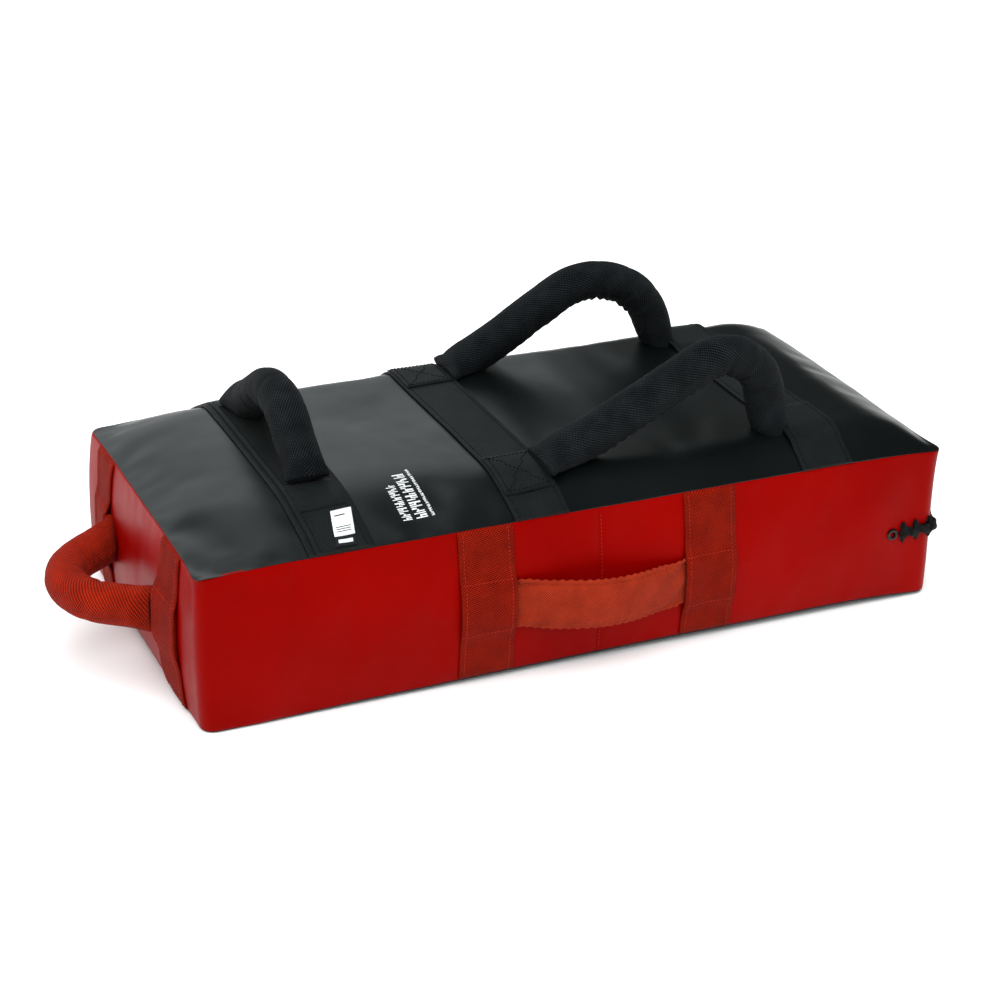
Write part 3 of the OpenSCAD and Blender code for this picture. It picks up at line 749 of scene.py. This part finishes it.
def stitches(name, lines, thread, pitch=4.2 * MM, length=3.1 * MM, radius=0.42 * MM):
    """Lines of short raised threads as one piece."""
    verts, faces = [], []
    sides = 6
    for points, normals in lines:
        for p, d, n in zip(*polyline(points, normals, pitch)):
            w = np.cross(d, n)
            base = len(verts)
            for t, r, up in THREAD_RINGS:
                c = p + d * t * length + n * up * radius
                for k in range(sides):
                    a = 2 * math.pi * k / sides
                    verts.append(c + (w * math.cos(a) + n * math.sin(a)) * r * radius)
            for i in range(4):
                for k in range(sides):
                    faces.append((base + i * sides + k, base + i * sides + (k + 1) % sides,
                                  base + (i + 1) * sides + (k + 1) % sides, base + (i + 1) * sides + k))
            faces.append(tuple(base + k for k in reversed(range(sides))))
            faces.append(tuple(base + 4 * sides + k for k in range(sides)))
    ob = face_out(make_object(name, verts, faces, MATERIALS[thread]))
    finish_piece(ob, thread.replace("_thread", "_webbing"))


def grid_line(grid, raise_by, i=None, j=None):
    """One row or column of a laid grid, lifted to lie on the cloth."""
    points, normals = grid
    pick = (slice(None), j) if i is None else (i, slice(None))
    up = np.broadcast_to(raise_by, points.shape[:2])[pick]
    return points[pick] + normals[pick] * up[..., None], normals[pick]


# ---------------------------------------------------------------- bands across the back panel
def band_ys(lo, hi):
    """Places across the pad for its bands: close together near the seams."""
    ys = panel_marks(HALF_W, CROWN_RUN)
    ys = np.concatenate([ys, (ys[:-1] + ys[1:]) / 2])
    ys = ys[(ys > lo + 0.3 * MM) & (ys < hi - 0.3 * MM)]
    return np.sort(np.concatenate([[lo], ys, [hi]]))


BAND_T = 1.8 * MM
BASE_T = 1.0 * MM
LAY = 0.45 * MM             # a band's gap over the back panel
ARM_LAY = LAY + 1.25 * MM   # the same over the base under the arm band


def make_bands():
    def edges(node):
        lo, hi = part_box(node)
        return lo.x, hi.x

    ys = band_ys(-HALF_W + 0.4 * MM, HALF_W - 0.4 * MM)
    lines = []

    # the base under the arm band, with a folded double ridge along its left edge
    a, b = edges("arm_band_base")
    xs = a + (b - a) * np.array([0, 0.035, 0.07, 0.105, 0.14, 0.18, 0.25, 0.45, 0.65, 0.85, 0.93, 1.0])
    ridge = np.array([0.5, 1.5, 1.1, 0.2, 0, 0, 0, 0, 0, 0, 0.2, 0.2]) * MM
    grid = on_top(xs[None, :], ys[:, None])
    strip("arm_band_base_cloth", grid, BASE_T + ridge, LAY, "black_webbing", "arm_band_base")
    lines.append(grid_line(grid, LAY + BASE_T + 0.05 * MM, j=4))

    for node, lift in (("arm_band", ARM_LAY), ("middle_band", LAY), ("end_band", LAY)):
        a, b = edges(node)
        xs = np.linspace(a, b, 13)
        grid = on_top(xs[None, :], ys[:, None])
        heights = np.full(grid[0].shape[:2], lift)
        if node == "end_band":
            y = np.abs(ys)[:, None]
            lo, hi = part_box("near_grip_tab_right")
            over = smooth(-hi.y - 9 * MM, -hi.y, y) * (1 - smooth(-lo.y, -lo.y + 9 * MM, y))
            heights = heights + 2.5 * MM * over
        wave = 0.35 * MM * ripple(grid[0][..., 0], grid[0][..., 1], 45 * MM, seed=21.0)
        heights = heights + np.maximum(wave, -0.1 * MM)
        strip(node + "_cloth", grid, BAND_T, heights, "black_webbing", node)
        lines += [grid_line(grid, heights + BAND_T, j=j) for j in (1, -2)]
    stitches("band_stitches", lines, "black_thread")


def leaning(lo_x, hi_x, ys, n, lean, pivot):
    """Points and normals on the back panel; its left and right edges lean with y."""
    xs = np.linspace(lo_x, hi_x, n)[None, :] + lean * (ys[:, None] - pivot)
    return on_top(xs, ys[:, None])


def make_label():
    """A plain woven label with bars in place of its print; it sits a little askew."""
    lo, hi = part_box("size_label")
    lift = ARM_LAY + BAND_T + 0.5 * MM
    left, lean, low, high = lo.x + 9 * MM, 0.24, lo.y - 6 * MM, hi.y - 4 * MM
    wide, long_ = hi.x - lo.x, high - low
    split = low + 0.29 * long_

    def part(name, x0, x1, y0, y1, t, up, finish, n=5):
        ys = np.linspace(y0, y1, 3 * n)
        grid = leaning(left + x0 * wide, left + x1 * wide, ys, n, lean, (low + high) / 2)
        return strip(name, grid, t, up, finish, slot="label_weave")

    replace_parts(part("label_light", 0, 1, split, high, 0.5 * MM, lift, "label_weave"), "size_label")
    part("label_dark", 0, 1, low, split - 0.2 * MM, 0.5 * MM, lift, "label_ink")
    bars = [(0.15, 0.85, 0.09, 0.19, "label_weave"), (0.15, 0.85, 0.40, 0.42, "label_ink"),
            (0.15, 0.85, 0.46, 0.48, "label_ink"), (0.15, 0.85, 0.52, 0.54, "label_ink"),
            (0.15, 0.65, 0.83, 0.86, "label_ink")]
    for k, (x0, x1, y0, y1, finish) in enumerate(bars):
        y0, y1 = low + y0 * long_, low + y1 * long_
        part(f"label_bar_{k}", x0, x1, y0, y1, 0.1 * MM, lift + 0.48 * MM, finish, 4)


def make_print():
    """Made-up marks printed in three rows on the back panel, where the real one has words."""
    x0 = middle("arm_band").x + 62 * MM
    y0 = -HALF_W + 24 * MM
    bars = []
    # start, height, length and stroke of each row, in mm
    rows = ((0, 8, 47, 1.0), (12, 10, 62, 1.3), (26, 2.4, 68, 0.6))
    for start, high, long_, stroke in rows:
        y, k = 0.0, 0
        while y < long_ - stroke:
            wide = stroke * (1.0 + 0.5 * (k % 3 == 1))
            cut = (0, 0.45, 0, 0.3, 0.6)[k % 5] * high
            bars.append((start + (cut if k % 2 else 0), start + high - (0 if k % 2 else cut), y, y + wide))
            if k % 3 == 0:
                bars.append((start + high * 0.42, start + high * 0.42 + stroke * 0.8, y, y + 2.4 * stroke))
            y += wide + stroke * (0.75 + 0.8 * (k % 4 == 3))
            k += 1
    runs = []
    for xa, xb, ya, yb in bars:
        xs, ys = np.linspace(xa, xb, 4) * MM, np.linspace(ya, yb, 4) * MM
        grid = on_top((x0 + xs)[None, :], (y0 + ys)[:, None])
        runs.append(strip_rings(*grid, 0.12 * MM, 0.2 * MM))
    finish_piece(loft("print_marks", runs, "print_ink"), "back_vinyl")


# ---------------------------------------------------------------- straps down the walls
SIDES = {"front": ("left", "right"), "rear": ("left", "right"), "end": ("front", "rear")}


def make_straps(walls):
    """Coarse webbing straps; each one passes over the sewn end of a handle."""
    heights = np.concatenate([[0, 0.004], np.linspace(0.015, 0.985, 56), [0.996, 1]])
    lines = []
    straps = [(wall, side) for wall, sides in SIDES.items() for side in sides]
    for k, (wall, side) in enumerate(straps):
        name, end = f"{wall}_strap_{side}", f"{wall}_handle_end_{side}"
        lo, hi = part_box(name)
        a, b = (lo.y, hi.y) if wall == "end" else (lo.x, hi.x)
        places = np.linspace(a, b, 13)
        grid = walls.grid(wall, places, heights)
        z = grid[0][..., 2]
        end_lo, end_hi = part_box(end)
        over = (smooth(end_lo.z - 16 * MM, end_lo.z + 5 * MM, z)
                * (1 - smooth(end_hi.z - 5 * MM, end_hi.z + 16 * MM, z)))
        # straps thin out where they go into the seams
        seam = smooth(0, 0.025, heights) * smooth(0, 0.025, 1 - heights)
        seam = 0.15 + 0.85 * seam[:, None]
        lift = 0.35 * MM + 3.1 * MM * over
        lift = lift + 0.3 * MM * np.abs(ripple(grid[0][..., 0] + grid[0][..., 1], z, 30 * MM, 31.0 + k))
        # the strap's inner edge stands off beside the handle
        inner_last = abs(a) > abs(b) if wall == "end" else a < 0
        share = np.linspace(0, 1, len(places))[::1 if inner_last else -1]
        lift = (lift + 2.4 * MM * over * smooth(0.55, 1, share)[None, :]) * seam
        thick = 1.7 * MM * seam + 0 * lift
        strip(name + "_cloth", grid, thick, lift, "red_webbing", name)
        lines += [grid_line(grid, lift + thick, j=j) for j in (1, -2)]
        for z_line in (end_hi.z + 4 * MM, end_lo.z - 4 * MM):
            i = int(np.argmin(np.abs(z[:, 6] - z_line)))
            lines.append(grid_line(grid, lift + thick, i=i))
        # the handle's flat end, sewn behind the strap
        a, b = (end_lo.y, end_hi.y) if wall == "end" else (end_lo.x, end_hi.x)
        rows = np.linspace(end_lo.z, end_hi.z, 15)
        h = (rows - STRIKE_Z) / (SEAM_Z - STRIKE_Z)
        grid = walls.grid(wall, np.linspace(a, b, 9), h)
        strip(end + "_cloth", grid, 2.3 * MM, 0.4 * MM, "handle_cloth", end)
    for wall in ("front", "rear"):
        grid = walls.grid(wall, [WALL_SEAM_X + 2.5 * MM], np.linspace(0.03, 0.97, 60))
        lines.append(grid_line(grid, 0.05 * MM, j=0))
    stitches("strap_stitches", lines, "red_thread", pitch=3.6 * MM, length=2.8 * MM, radius=0.45 * MM)


# ---------------------------------------------------------------- handles
def arch(span, rise_a, rise_b, radius):
    """Middle line of a handle between its feet, as (along, out) points."""
    a, b = math.radians(rise_a), math.radians(rise_b)
    p = span - radius * (math.sin(a) + math.sin(b))
    q = radius * (math.cos(a) - math.cos(b))
    leg_a = (p * math.sin(b) + q * math.cos(b)) / math.sin(a + b)
    leg_b = (p * math.sin(a) - q * math.cos(a)) / math.sin(a + b)
    cx = leg_a * math.cos(a) + radius * math.sin(a)
    cz = leg_a * math.sin(a) - radius * math.cos(a)
    turn = [a - (a + b) * t for t in np.linspace(0, 1, 13)]
    first = [(t * math.cos(a), t * math.sin(a)) for t in np.linspace(0, leg_a, 9)[:-1]]
    bend = [(cx - radius * math.sin(t), cz + radius * math.cos(t)) for t in turn]
    last = [(span - t * math.cos(b), t * math.sin(b)) for t in np.linspace(leg_b, 0, 9)[1:]]
    return first + bend + last


class Handle:
    """One handle's place and its middle line. Its ends rise at two slopes in degrees; the tails are
    (along, out) points in mm beyond its feet, and trim mm of the arch beside them is left out."""

    def __init__(self, name, along, across, out, span, rise_a, rise_b, radius, tail_a, tail_b, trim=0):
        self.name = name
        self.along, self.across, self.out = (np.array(v, float) for v in (along, across, out))
        centre = np.array(joint(name + "_tip")["pos_m"], float)
        self.foot = centre - self.along * span / 2
        keep = [(p, q) for p, q in arch(span, rise_a, rise_b, radius)
                if p >= trim * MM and (p <= span - trim * MM or rise_b > 60)]
        line = [(p * MM, q * MM) for p, q in tail_a] + keep + [(span + p * MM, q * MM) for p, q in tail_b]
        self.path, self.at = resample(line, 2.2 * MM)
        self.length = self.at[-1]
        step = np.gradient(self.path, axis=0)
        self.heading = np.arctan2(step[:, 1], step[:, 0])

    def world(self, u, v, w):
        return self.foot + u[..., None] * self.along + v[..., None] * self.across + w[..., None] * self.out

    def skin(self, width, thick, power, offset):
        """Rings of the sleeve; offset moves each point out from the section."""
        sides = 64
        theta = np.linspace(0, 2 * math.pi, sides, endpoint=False)[None, :]
        w, t, p = (np.broadcast_to(v, self.at.shape)[:, None] for v in (width, thick, power))
        c, s = np.cos(theta), np.sin(theta)
        x = w / 2 * np.sign(c) * np.abs(c) ** (2 / p)
        y = t / 2 * np.sign(s) * np.abs(s) ** (2 / p)
        nx, ny = x / (w / 2) ** 2, y / (t / 2) ** 2
        size = np.hypot(nx, ny)
        d = offset(self.at[:, None], theta)
        x, y = x + d * nx / size, y + d * ny / size
        a = self.heading[:, None]
        return self.world(self.path[:, :1] - y * np.sin(a), x, self.path[:, 1:] + y * np.cos(a))


def near(theta, centre):
    """Signed angle from centre to theta."""
    return np.angle(np.exp(1j * (theta - centre)))


def sleeve_relief(handle, seam, creases, hem_a=0.0, hem_b=0.0, seed=0.0):
    """Small shapes of a stuffed sleeve: ruffled seam, creases inside the bend, hems and soft folds."""
    total = handle.length

    def offset(s, theta):
        inner = np.clip(-np.sin(theta), 0, 1) ** 0.7
        d = 0.45 * MM * ripple(s, theta * 18 * MM, 34 * MM, seed)
        d = d + 0.22 * MM * ripple(s, theta * 18 * MM, 11 * MM, seed + 5)
        wave = 0.5 + 0.5 * np.sin(2 * math.pi * s / (10.5 * MM) + 1.3 * ripple(s, 0 * s, 60 * MM, seed + 2))
        off = near(theta, seam)
        ends = smooth(8 * MM, 30 * MM, s) * smooth(8 * MM, 30 * MM, total - s)
        d = d + ends * (1.5 * MM * np.exp(-(off / 0.13) ** 2) * (0.45 + 0.55 * wave)
                        - 1.1 * MM * np.exp(-(off / 0.5) ** 2) * (1 - wave))
        for place, depth, wide, lean in creases:
            line = (s - place * total - lean * MM * np.cos(theta)) / (wide * MM)
            d = d - depth * MM * np.exp(-line ** 2) * (0.25 + 0.75 * inner)
            d = d + 0.35 * depth * MM * np.exp(-((np.abs(line) - 1.7) / 0.8) ** 2) * inner
        for hem, dist in ((hem_a, s), (hem_b, total - s)):
            if hem:
                groove = np.exp(-((dist - hem - 1 * MM) / (1.1 * MM)) ** 2)
                d = d + 1.1 * MM * (1 - smooth(hem * 0.75, hem, dist)) - 1.3 * MM * groove
        return d

    return offset


def finish_handle(ob, handle):
    """Smooths the sleeve, stands for its CAD parts and bakes its placement into the mesh."""
    subdivide(ob)
    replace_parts(ob, *[f"{handle.name}_{part}" for part in ("sleeve", "foam", "web")])
    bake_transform(ob)
    return ob


def lie_on_top(rings, lift):
    """Keeps a sleeve's low points from sinking into the back panel."""
    near_floor = rings[..., 2] < TOP_Z + 6 * MM
    floor = top_height(rings[near_floor][:, 0], rings[near_floor][:, 1]) + lift
    z = rings[near_floor][:, 2]
    rings[near_floor, 2] = np.where(z < floor, floor + 0.12 * (z - floor), z)
    return rings


def make_top_handles():
    """The padded arm loop and the two long grips."""
    x, y, z = (1, 0, 0), (0, 1, 0), (0, 0, 1)
    tube = 37 * MM
    lift = LAY + 0.1 * MM

    def flat_to_round(s, first, rate):
        """Thickness of the stuffed tube at a distance from its sewn end."""
        full = first + rate * s
        return np.minimum(full, tube) - 2.5 * MM * np.exp(-((full - tube) / (5 * MM)) ** 2)

    def build(handle, first, rate, wide, relief, end_lift, deep_end=False):
        """first, rate and wide have a value for each end of the handle."""
        s = handle.at
        thick = np.minimum(*[flat_to_round(run, first[k] * MM, rate[k])
                             for k, run in enumerate((s, handle.length - s))])
        ends = np.where(s < handle.length / 2, wide[0], wide[1]) * MM
        roundness = np.clip((thick - 10 * MM) / (27 * MM), 0, 1)
        width = ends - (ends - 36.5 * MM) * roundness
        power = 2 + 0.7 * (1 - thick / width)
        rings = handle.skin(width, thick, power, relief)
        rings = np.concatenate([rings[:1], 0.85 * rings[:1] + 0.15 * rings[1:2], rings[1:-1],
                                0.85 * rings[-1:] + 0.15 * rings[-2:-1], rings[-1:]])
        count = len(rings) * 2 // 3 if deep_end else len(rings)
        rings[:count] = lie_on_top(rings[:count], end_lift)
        ob = loft(handle.name + "_cover", [rings], "grip_cloth")
        return finish_handle(ob, handle)

    # span in m, two slopes, bend radius in mm, two tails, trim in mm, place of the sleeve's seam in degrees,
    # creases and seed; a crease has its place as a share of the length, then depth, width and lean in mm
    grips = {
        "near_grip": (
            0.211, 26.5, 80, 45, [(-14, 0.6), (-4, 3.4), (8, 7.4), (20, 11.6)], [(0.3, -5.0)], 33, 248,
            [(0.66, 2.6, 3.2, 3), (0.74, 2.2, 3.0, -3), (0.83, 1.8, 3.2, 2), (0.40, 0.5, 8, 4)], 41.0,
        ),
        "far_grip": (
            0.210, 31, 72, 70, [(-14, 0.6), (-4, 3.6), (8, 8.0), (18, 12.2)], [(0.5, -5.0)], 29, 262,
            [(0.62, 1.6, 3.6, 2), (0.72, 2.2, 3.0, -3), (0.82, 1.8, 3.0, 3), (0.35, 0.6, 8, 4)], 43.0,
        ),
    }
    for name, (span, rise_a, rise_b, radius, tail_a, tail_b, trim, seam, creases, seed) in grips.items():
        grip = Handle(name, x, y, z, span, rise_a, rise_b, radius * MM, tail_a, tail_b, trim)
        relief = sleeve_relief(grip, math.radians(seam), creases, hem_a=7 * MM, seed=seed)
        build(grip, (9, 27), (1.45, 0.7), (54, 41), relief, lift + BAND_T, True)
    loop = Handle("arm_loop", y, (-1, 0, 0), z, 0.178, 43, 31.5, 66 * MM, [(-8, 2.6), (-2, 6.0), (7, 12.5)],
                  [(-10, 10.5), (0, 7.0), (9, 3.0)], 24)
    creases = [(0.34, 1.6, 3.4, 3), (0.45, 2.2, 3.0, -3), (0.56, 1.8, 3.2, 3), (0.68, 1.2, 3.4, -2)]
    relief = sleeve_relief(loop, math.radians(270), creases, seed=47.0)
    build(loop, (6, 13), (2.5, 1.2), (41, 41), relief, ARM_LAY + BAND_T)


def make_tabs():
    """Flat ends of the top handles; the grips' left ends are sewn to their bands with a box and a cross."""
    arm = ARM_LAY + BAND_T + 0.05 * MM
    grips = LAY + BAND_T + 0.25 * MM
    plan = {
        "arm_loop_tab_front": (arm, 0.9), "arm_loop_tab_rear": (arm, 0.9),
        "near_grip_tab_left": (grips, 1.7), "far_grip_tab_left": (grips, 1.7),
        "near_grip_tab_right": (LAY * 0.6, 1.8), "far_grip_tab_right": (LAY * 0.6, 1.8),
    }
    lines = []
    for name, (lift, t) in plan.items():
        lo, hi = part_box(name)
        grid = on_top(np.linspace(lo.x, hi.x, 13)[None, :], np.linspace(lo.y, hi.y, 15)[:, None])
        edge = np.minimum.outer(*[np.minimum(np.arange(n), np.arange(n)[::-1]) for n in (15, 13)])
        edge = edge.clip(0, 2) / 2
        uneven = ripple(grid[0][..., 0], grid[0][..., 1], 12 * MM, seed=51.0)
        thick = (t - 0.5 + 0.5 * edge) * MM + 0.25 * MM * uneven
        strip(name + "_cloth", grid, thick, lift, "black_webbing", name, slot="grip_cloth")
        if name.startswith("arm") or name.endswith("right"):
            continue
        up = lift + thick
        lines += [grid_line(grid, up, i=i) for i in (1, -2)]
        lines += [grid_line(grid, up, j=j) for j in (1, -2)]
        points = grid[0] + grid[1] * up[..., None]
        for row in (list(range(1, 14)), list(range(13, 0, -1))):
            cols = np.linspace(1, 11, 13).round().astype(int)
            lines.append((points[row, cols], grid[1][row, cols]))
    stitches("tab_stitches", lines, "black_thread", pitch=3.8 * MM, length=3.0 * MM, radius=0.42 * MM)


def make_end_handle():
    """The round red handle on the left end."""
    handle = Handle("end_handle", (0, 1, 0), (0, 0, -1), (-1, 0, 0), 0.152, 52, 52, 62 * MM,
                    [(-4, -0.2)], [(4, -0.2)])
    s = np.minimum(handle.at, handle.length - handle.at)
    thick = np.minimum(12 * MM + 1.15 * s, 37 * MM)
    width = 52 * MM - 0.40 * thick
    creases = [(0.3, 1.6, 3.4, 3), (0.42, 1.4, 3.2, -3), (0.58, 1.6, 3.2, 3), (0.7, 1.5, 3.4, -3)]
    relief = sleeve_relief(handle, math.radians(270), creases, 4 * MM, 4 * MM, 61.0)
    rings = handle.skin(width, thick, 2 + 0.6 * (1 - thick / width), relief)
    ob = loft("end_handle_cover", [rings], "handle_cloth")
    finish_handle(ob, handle)


def make_side_handles():
    """The two flat red carry handles, with ruffled stitched edges."""
    slope = math.radians(3)
    along = (math.cos(slope), 0, -math.sin(slope))
    up = (math.sin(slope), 0, math.cos(slope))
    for name, out, seed in (("front_handle", -1, 71.0), ("rear_handle", 1, 73.0)):
        handle = Handle(name, along, up, (0, out, 0), 0.153, 18, 18, 110 * MM,
                        [(-11, -2.2), (-5, -2.0)], [(5, -2.0), (11, -2.2)])
        s = np.minimum(handle.at, handle.length - handle.at)
        thick = 3 * MM + 9.5 * MM * smooth(4 * MM, 42 * MM, s)
        width = (43.0 + 1.5 * np.sin(handle.at / (37 * MM))) * MM

        def relief(at, theta, handle=handle, seed=seed):
            edge = np.abs(np.cos(theta)) ** 6
            wave = np.sin(2 * math.pi * at / (7.5 * MM) + 2 * ripple(at, 0 * at, 30 * MM, seed))
            d = edge * (0.9 * MM + 1.1 * MM * wave)
            groove = np.exp(-((np.abs(np.cos(theta)) - 0.86) / 0.045) ** 2)
            d = d - 1.3 * MM * groove
            d = d + 0.5 * MM * ripple(at, theta * 16 * MM, 26 * MM, seed + 3)
            dist = np.minimum(at, handle.length - at)
            fold = np.exp(-(dist / (26 * MM)) ** 2)
            fold = fold * (1 - np.exp(-(dist / (9 * MM)) ** 2))
            return d + 1.9 * MM * fold * np.sin(5 * theta + at / (9 * MM))

        rings = handle.skin(width, thick, 2.0 + 0 * thick, relief)
        ob = loft(name + "_cover", [rings], "flat_webbing")
        finish_handle(ob, handle)


# ---------------------------------------------------------------- the laced opening
class Slit:
    """Places along the laced slit, measured round the right end from the front side."""

    def __init__(self, walls):
        self.walls = walls
        front = [(x, -HALF_W, 0, -1) for x in np.linspace(SLIT_X, CORNER_X, 12)[:-1]]
        end = [(HALF_L, y, 1, 0) for y in np.linspace(-CORNER_Y, 0, 40)[1:]]
        half = front + near_arc(1) + end
        self.rows = np.array(half + [(x, -y, nx, -ny) for x, y, nx, ny in reversed(half[:-1])])
        self.s = running(np.hypot(*np.diff(self.rows[:, :2], axis=0).T))
        self.length = self.s[-1]

    def place(self, s, z, lift=0.0):
        """Point on the wall cover, its outward normal and the direction along the slit."""
        x, y, nx, ny = (float(np.interp(s, self.s, self.rows[:, k])) for k in range(4))
        n = Vector((nx, ny, 0)).normalized()
        start = Vector((x, y, z)) + n * 0.06
        hit = self.walls.hit(start, -n)
        if hit is None or (hit - start).length > 0.09:
            hit = Vector((x, y, z)) + n * 5 * MM
        return np.array(hit + n * lift), np.array(n), np.array((-n.y, n.x, 0))


def revolve(profile, centre, normal, sides=20):
    """Rings of a turned shape: profile is (radius, height) points in mm."""
    normal = unit(np.array(normal, float))
    u = unit(np.cross(normal, (0, 0, 1.0)))
    v = np.cross(normal, u)
    a = np.linspace(0, 2 * math.pi, sides, endpoint=False)[:, None]
    around = np.cos(a) * u + np.sin(a) * v
    return np.array([centre + around * (r * MM) + normal * (h * MM) for r, h in profile])


LACE_REACH = 1.8    # how far the wraps run past the slit, in eyelet row distances


def make_lacing(walls):
    slit = Slit(walls)
    row = (middle("eyelets_upper").z - middle("eyelets_lower").z) / 2
    upper_z, lower_z = SLIT_Z + row, SLIT_Z - row
    pairs = 30
    margin = 13 * MM
    at = np.linspace(margin, slit.length - margin, pairs)

    # dark flap behind the slit
    s = np.linspace(0, slit.length, 160)
    low = np.array([slit.place(t, SLIT_Z - 3.2 * MM, -1.0 * MM)[0] for t in s])
    high = np.array([slit.place(t, SLIT_Z + 3.2 * MM, -1.0 * MM)[0] for t in s])
    share = np.linspace(-0.2, 1.2, 7)[None, :, None]
    flat = low[:, None] * (1 - share) + high[:, None] * share
    normals = np.array([slit.place(t, SLIT_Z)[1] for t in s])[:, None] + 0 * flat
    strip("lace_flap_cloth", (flat, normals), 0.6 * MM, 0, "flap_vinyl", "lace_flap")

    # rolled eyelets and end grommets, turned from (radius, height) points in mm
    rim = [(1.9, -0.4), (1.9, 0.5), (2.2, 0.95), (2.7, 1.0), (3.15, 0.7), (3.4, 0.15), (3.4, -0.4)]
    for name, z in (("eyelets_upper", upper_z), ("eyelets_lower", lower_z)):
        rings = [revolve(rim, *slit.place(t, z)[:2]) for t in at]
        finish_piece(loft(name + "_rims", rings, "eyelet_metal", caps=False), "eyelet_metal", name)
    rim = [(2.6, -0.4), (2.6, 0.6), (3.2, 1.3), (4.3, 1.5), (5.2, 1.1), (5.7, 0.3), (5.7, -0.4)]
    rings = [revolve(rim, *slit.place(t, SLIT_Z)[:2], sides=28)
             for t in (1 * MM, slit.length - 1 * MM)]
    ob = loft("slit_grommet_rims", rings, "eyelet_metal", caps=False)
    finish_piece(ob, "eyelet_metal", "slit_grommets")

    # the lace: a pointed wrap over the slit at each pair, and a run along the slit between pairs
    runs = []
    for k, t in enumerate(at):
        points, widths, normals = [], [], []
        for f in np.linspace(-LACE_REACH, LACE_REACH, 17):
            z = SLIT_Z + f * row
            p, n, _ = slit.place(t + 0.5 * MM * math.sin(3 * k + f), z)
            full = 1 - abs(f) / LACE_REACH
            rise = 0.8 + 3.0 * full ** 0.7
            points.append(p + n * rise * MM)
            normals.append(n)
            widths.append((1.4 + 9.6 * full ** 1.1) * MM)
        runs.append(tape(points, normals, widths, 3.0 * MM))
        if k + 1 < pairs:
            points, normals, widths = [], [], []
            for g in np.linspace(0, 1, 13):
                p, n, _ = slit.place(t + g * (at[k + 1] - t), SLIT_Z + 1.2 * MM * math.sin(2 * math.pi * g))
                points.append(p + n * (1.2 + 0.9 * math.sin(math.pi * g)) * MM)
                normals.append(n)
                widths.append((9.4 - 2.0 * math.sin(math.pi * g)) * MM)
            runs.append(tape(points, normals, widths, 2.4 * MM))
    finish_piece(loft("lace_cloth", runs, "lace_cord"), "lace_cord", "lace")


def tape(points, normals, widths, thickness):
    """Rings of a flat braid along a line of points."""
    sides = 10
    points, normals = np.array(points), unit(np.array(normals))
    ahead = unit(np.gradient(points, axis=0))
    side = unit(np.cross(ahead, normals))
    up = np.cross(side, ahead)
    a = 2 * math.pi * np.arange(sides) / sides
    c, s = np.cos(a), np.sin(a)
    w = np.array(widths)[:, None, None] / 2
    x = np.sign(c) * np.abs(c) ** 0.7
    sideways = side[:, None] * x[None, :, None] * w
    return points[:, None] + sideways + up[:, None] * s[None, :, None] * thickness / 2


# ---------------------------------------------------------------- the studio
def area_light(name, place, look_at, size, power, colour=(1, 1, 1)):
    """A rectangular card of light; sizes are in metres and power in watts."""
    data = bpy.data.lights.new(name, "AREA")
    data.shape = "RECTANGLE"
    data.size, data.size_y = size
    data.energy = power
    data.color = colour
    return aimed(name, data, place, Vector(look_at) - Vector(place))


COOL_WHITE = (0.93, 1.0, 1.0)


def make_studio():
    """A pale floor under a wide soft sun, with cards that make the highlights on the vinyl."""
    scene = bpy.context.scene
    scene.view_settings.view_transform = "Standard"
    world = bpy.data.worlds.new("studio")
    scene.world = world
    world.use_nodes = True
    background = world.node_tree.nodes["Background"]
    background.inputs["Color"].default_value = (0.93, 0.98, 1.0, 1)
    background.inputs["Strength"].default_value = 0.05

    plain("floor", (0.92, 0.925, 0.93), (0.94, 0.94, 0.94), 0.95, 3.0, 0.01)
    reach = 14.0
    verts = [(-reach, -reach, 0), (reach, -reach, 0), (reach, reach, 0), (-reach, reach, 0)]
    floor = make_object("floor", verts, [(0, 1, 2, 3)], MATERIALS["floor"])
    floor.location.z = CAD_LO.z - 0.2 * MM

    sun = bpy.data.lights.new("sky_panel", "SUN")
    sun.energy = 5.0
    sun.angle = math.radians(88)
    aimed("sky_panel", sun, (0, 0, 0), (0.15, 0.30, -0.95)).visible_glossy = False

    area_light("back_left_card", (-0.24, 2.6, 1.35), (0, 0, 0.15), (2.9, 1.9), 15, COOL_WHITE)
    area_light("upper_left_card", (-0.15, 1.1, 2.4), (-0.15, 0, 0.15), (1.2, 1.1), 4.8, COOL_WHITE)
    area_light("front_fill", (0.9, -3.0, 1.1), (0.1, 0, 0.08), (2.2, 1.4), 22).visible_glossy = False
    area_light("left_fill", (-2.6, 0.2, 0.7), (-0.35, 0, 0.08), (1.4, 1.0), 15)


# ---------------------------------------------------------------- the build
make_camera()
cover = make_cover()
TOP = [tree_of(cover["back_cover"])]
walls = Walls(cover)
make_bands()
make_label()
make_print()
make_straps(walls)
make_tabs()
make_top_handles()
make_end_handle()
make_side_handles()
make_lacing(walls)
make_studio()
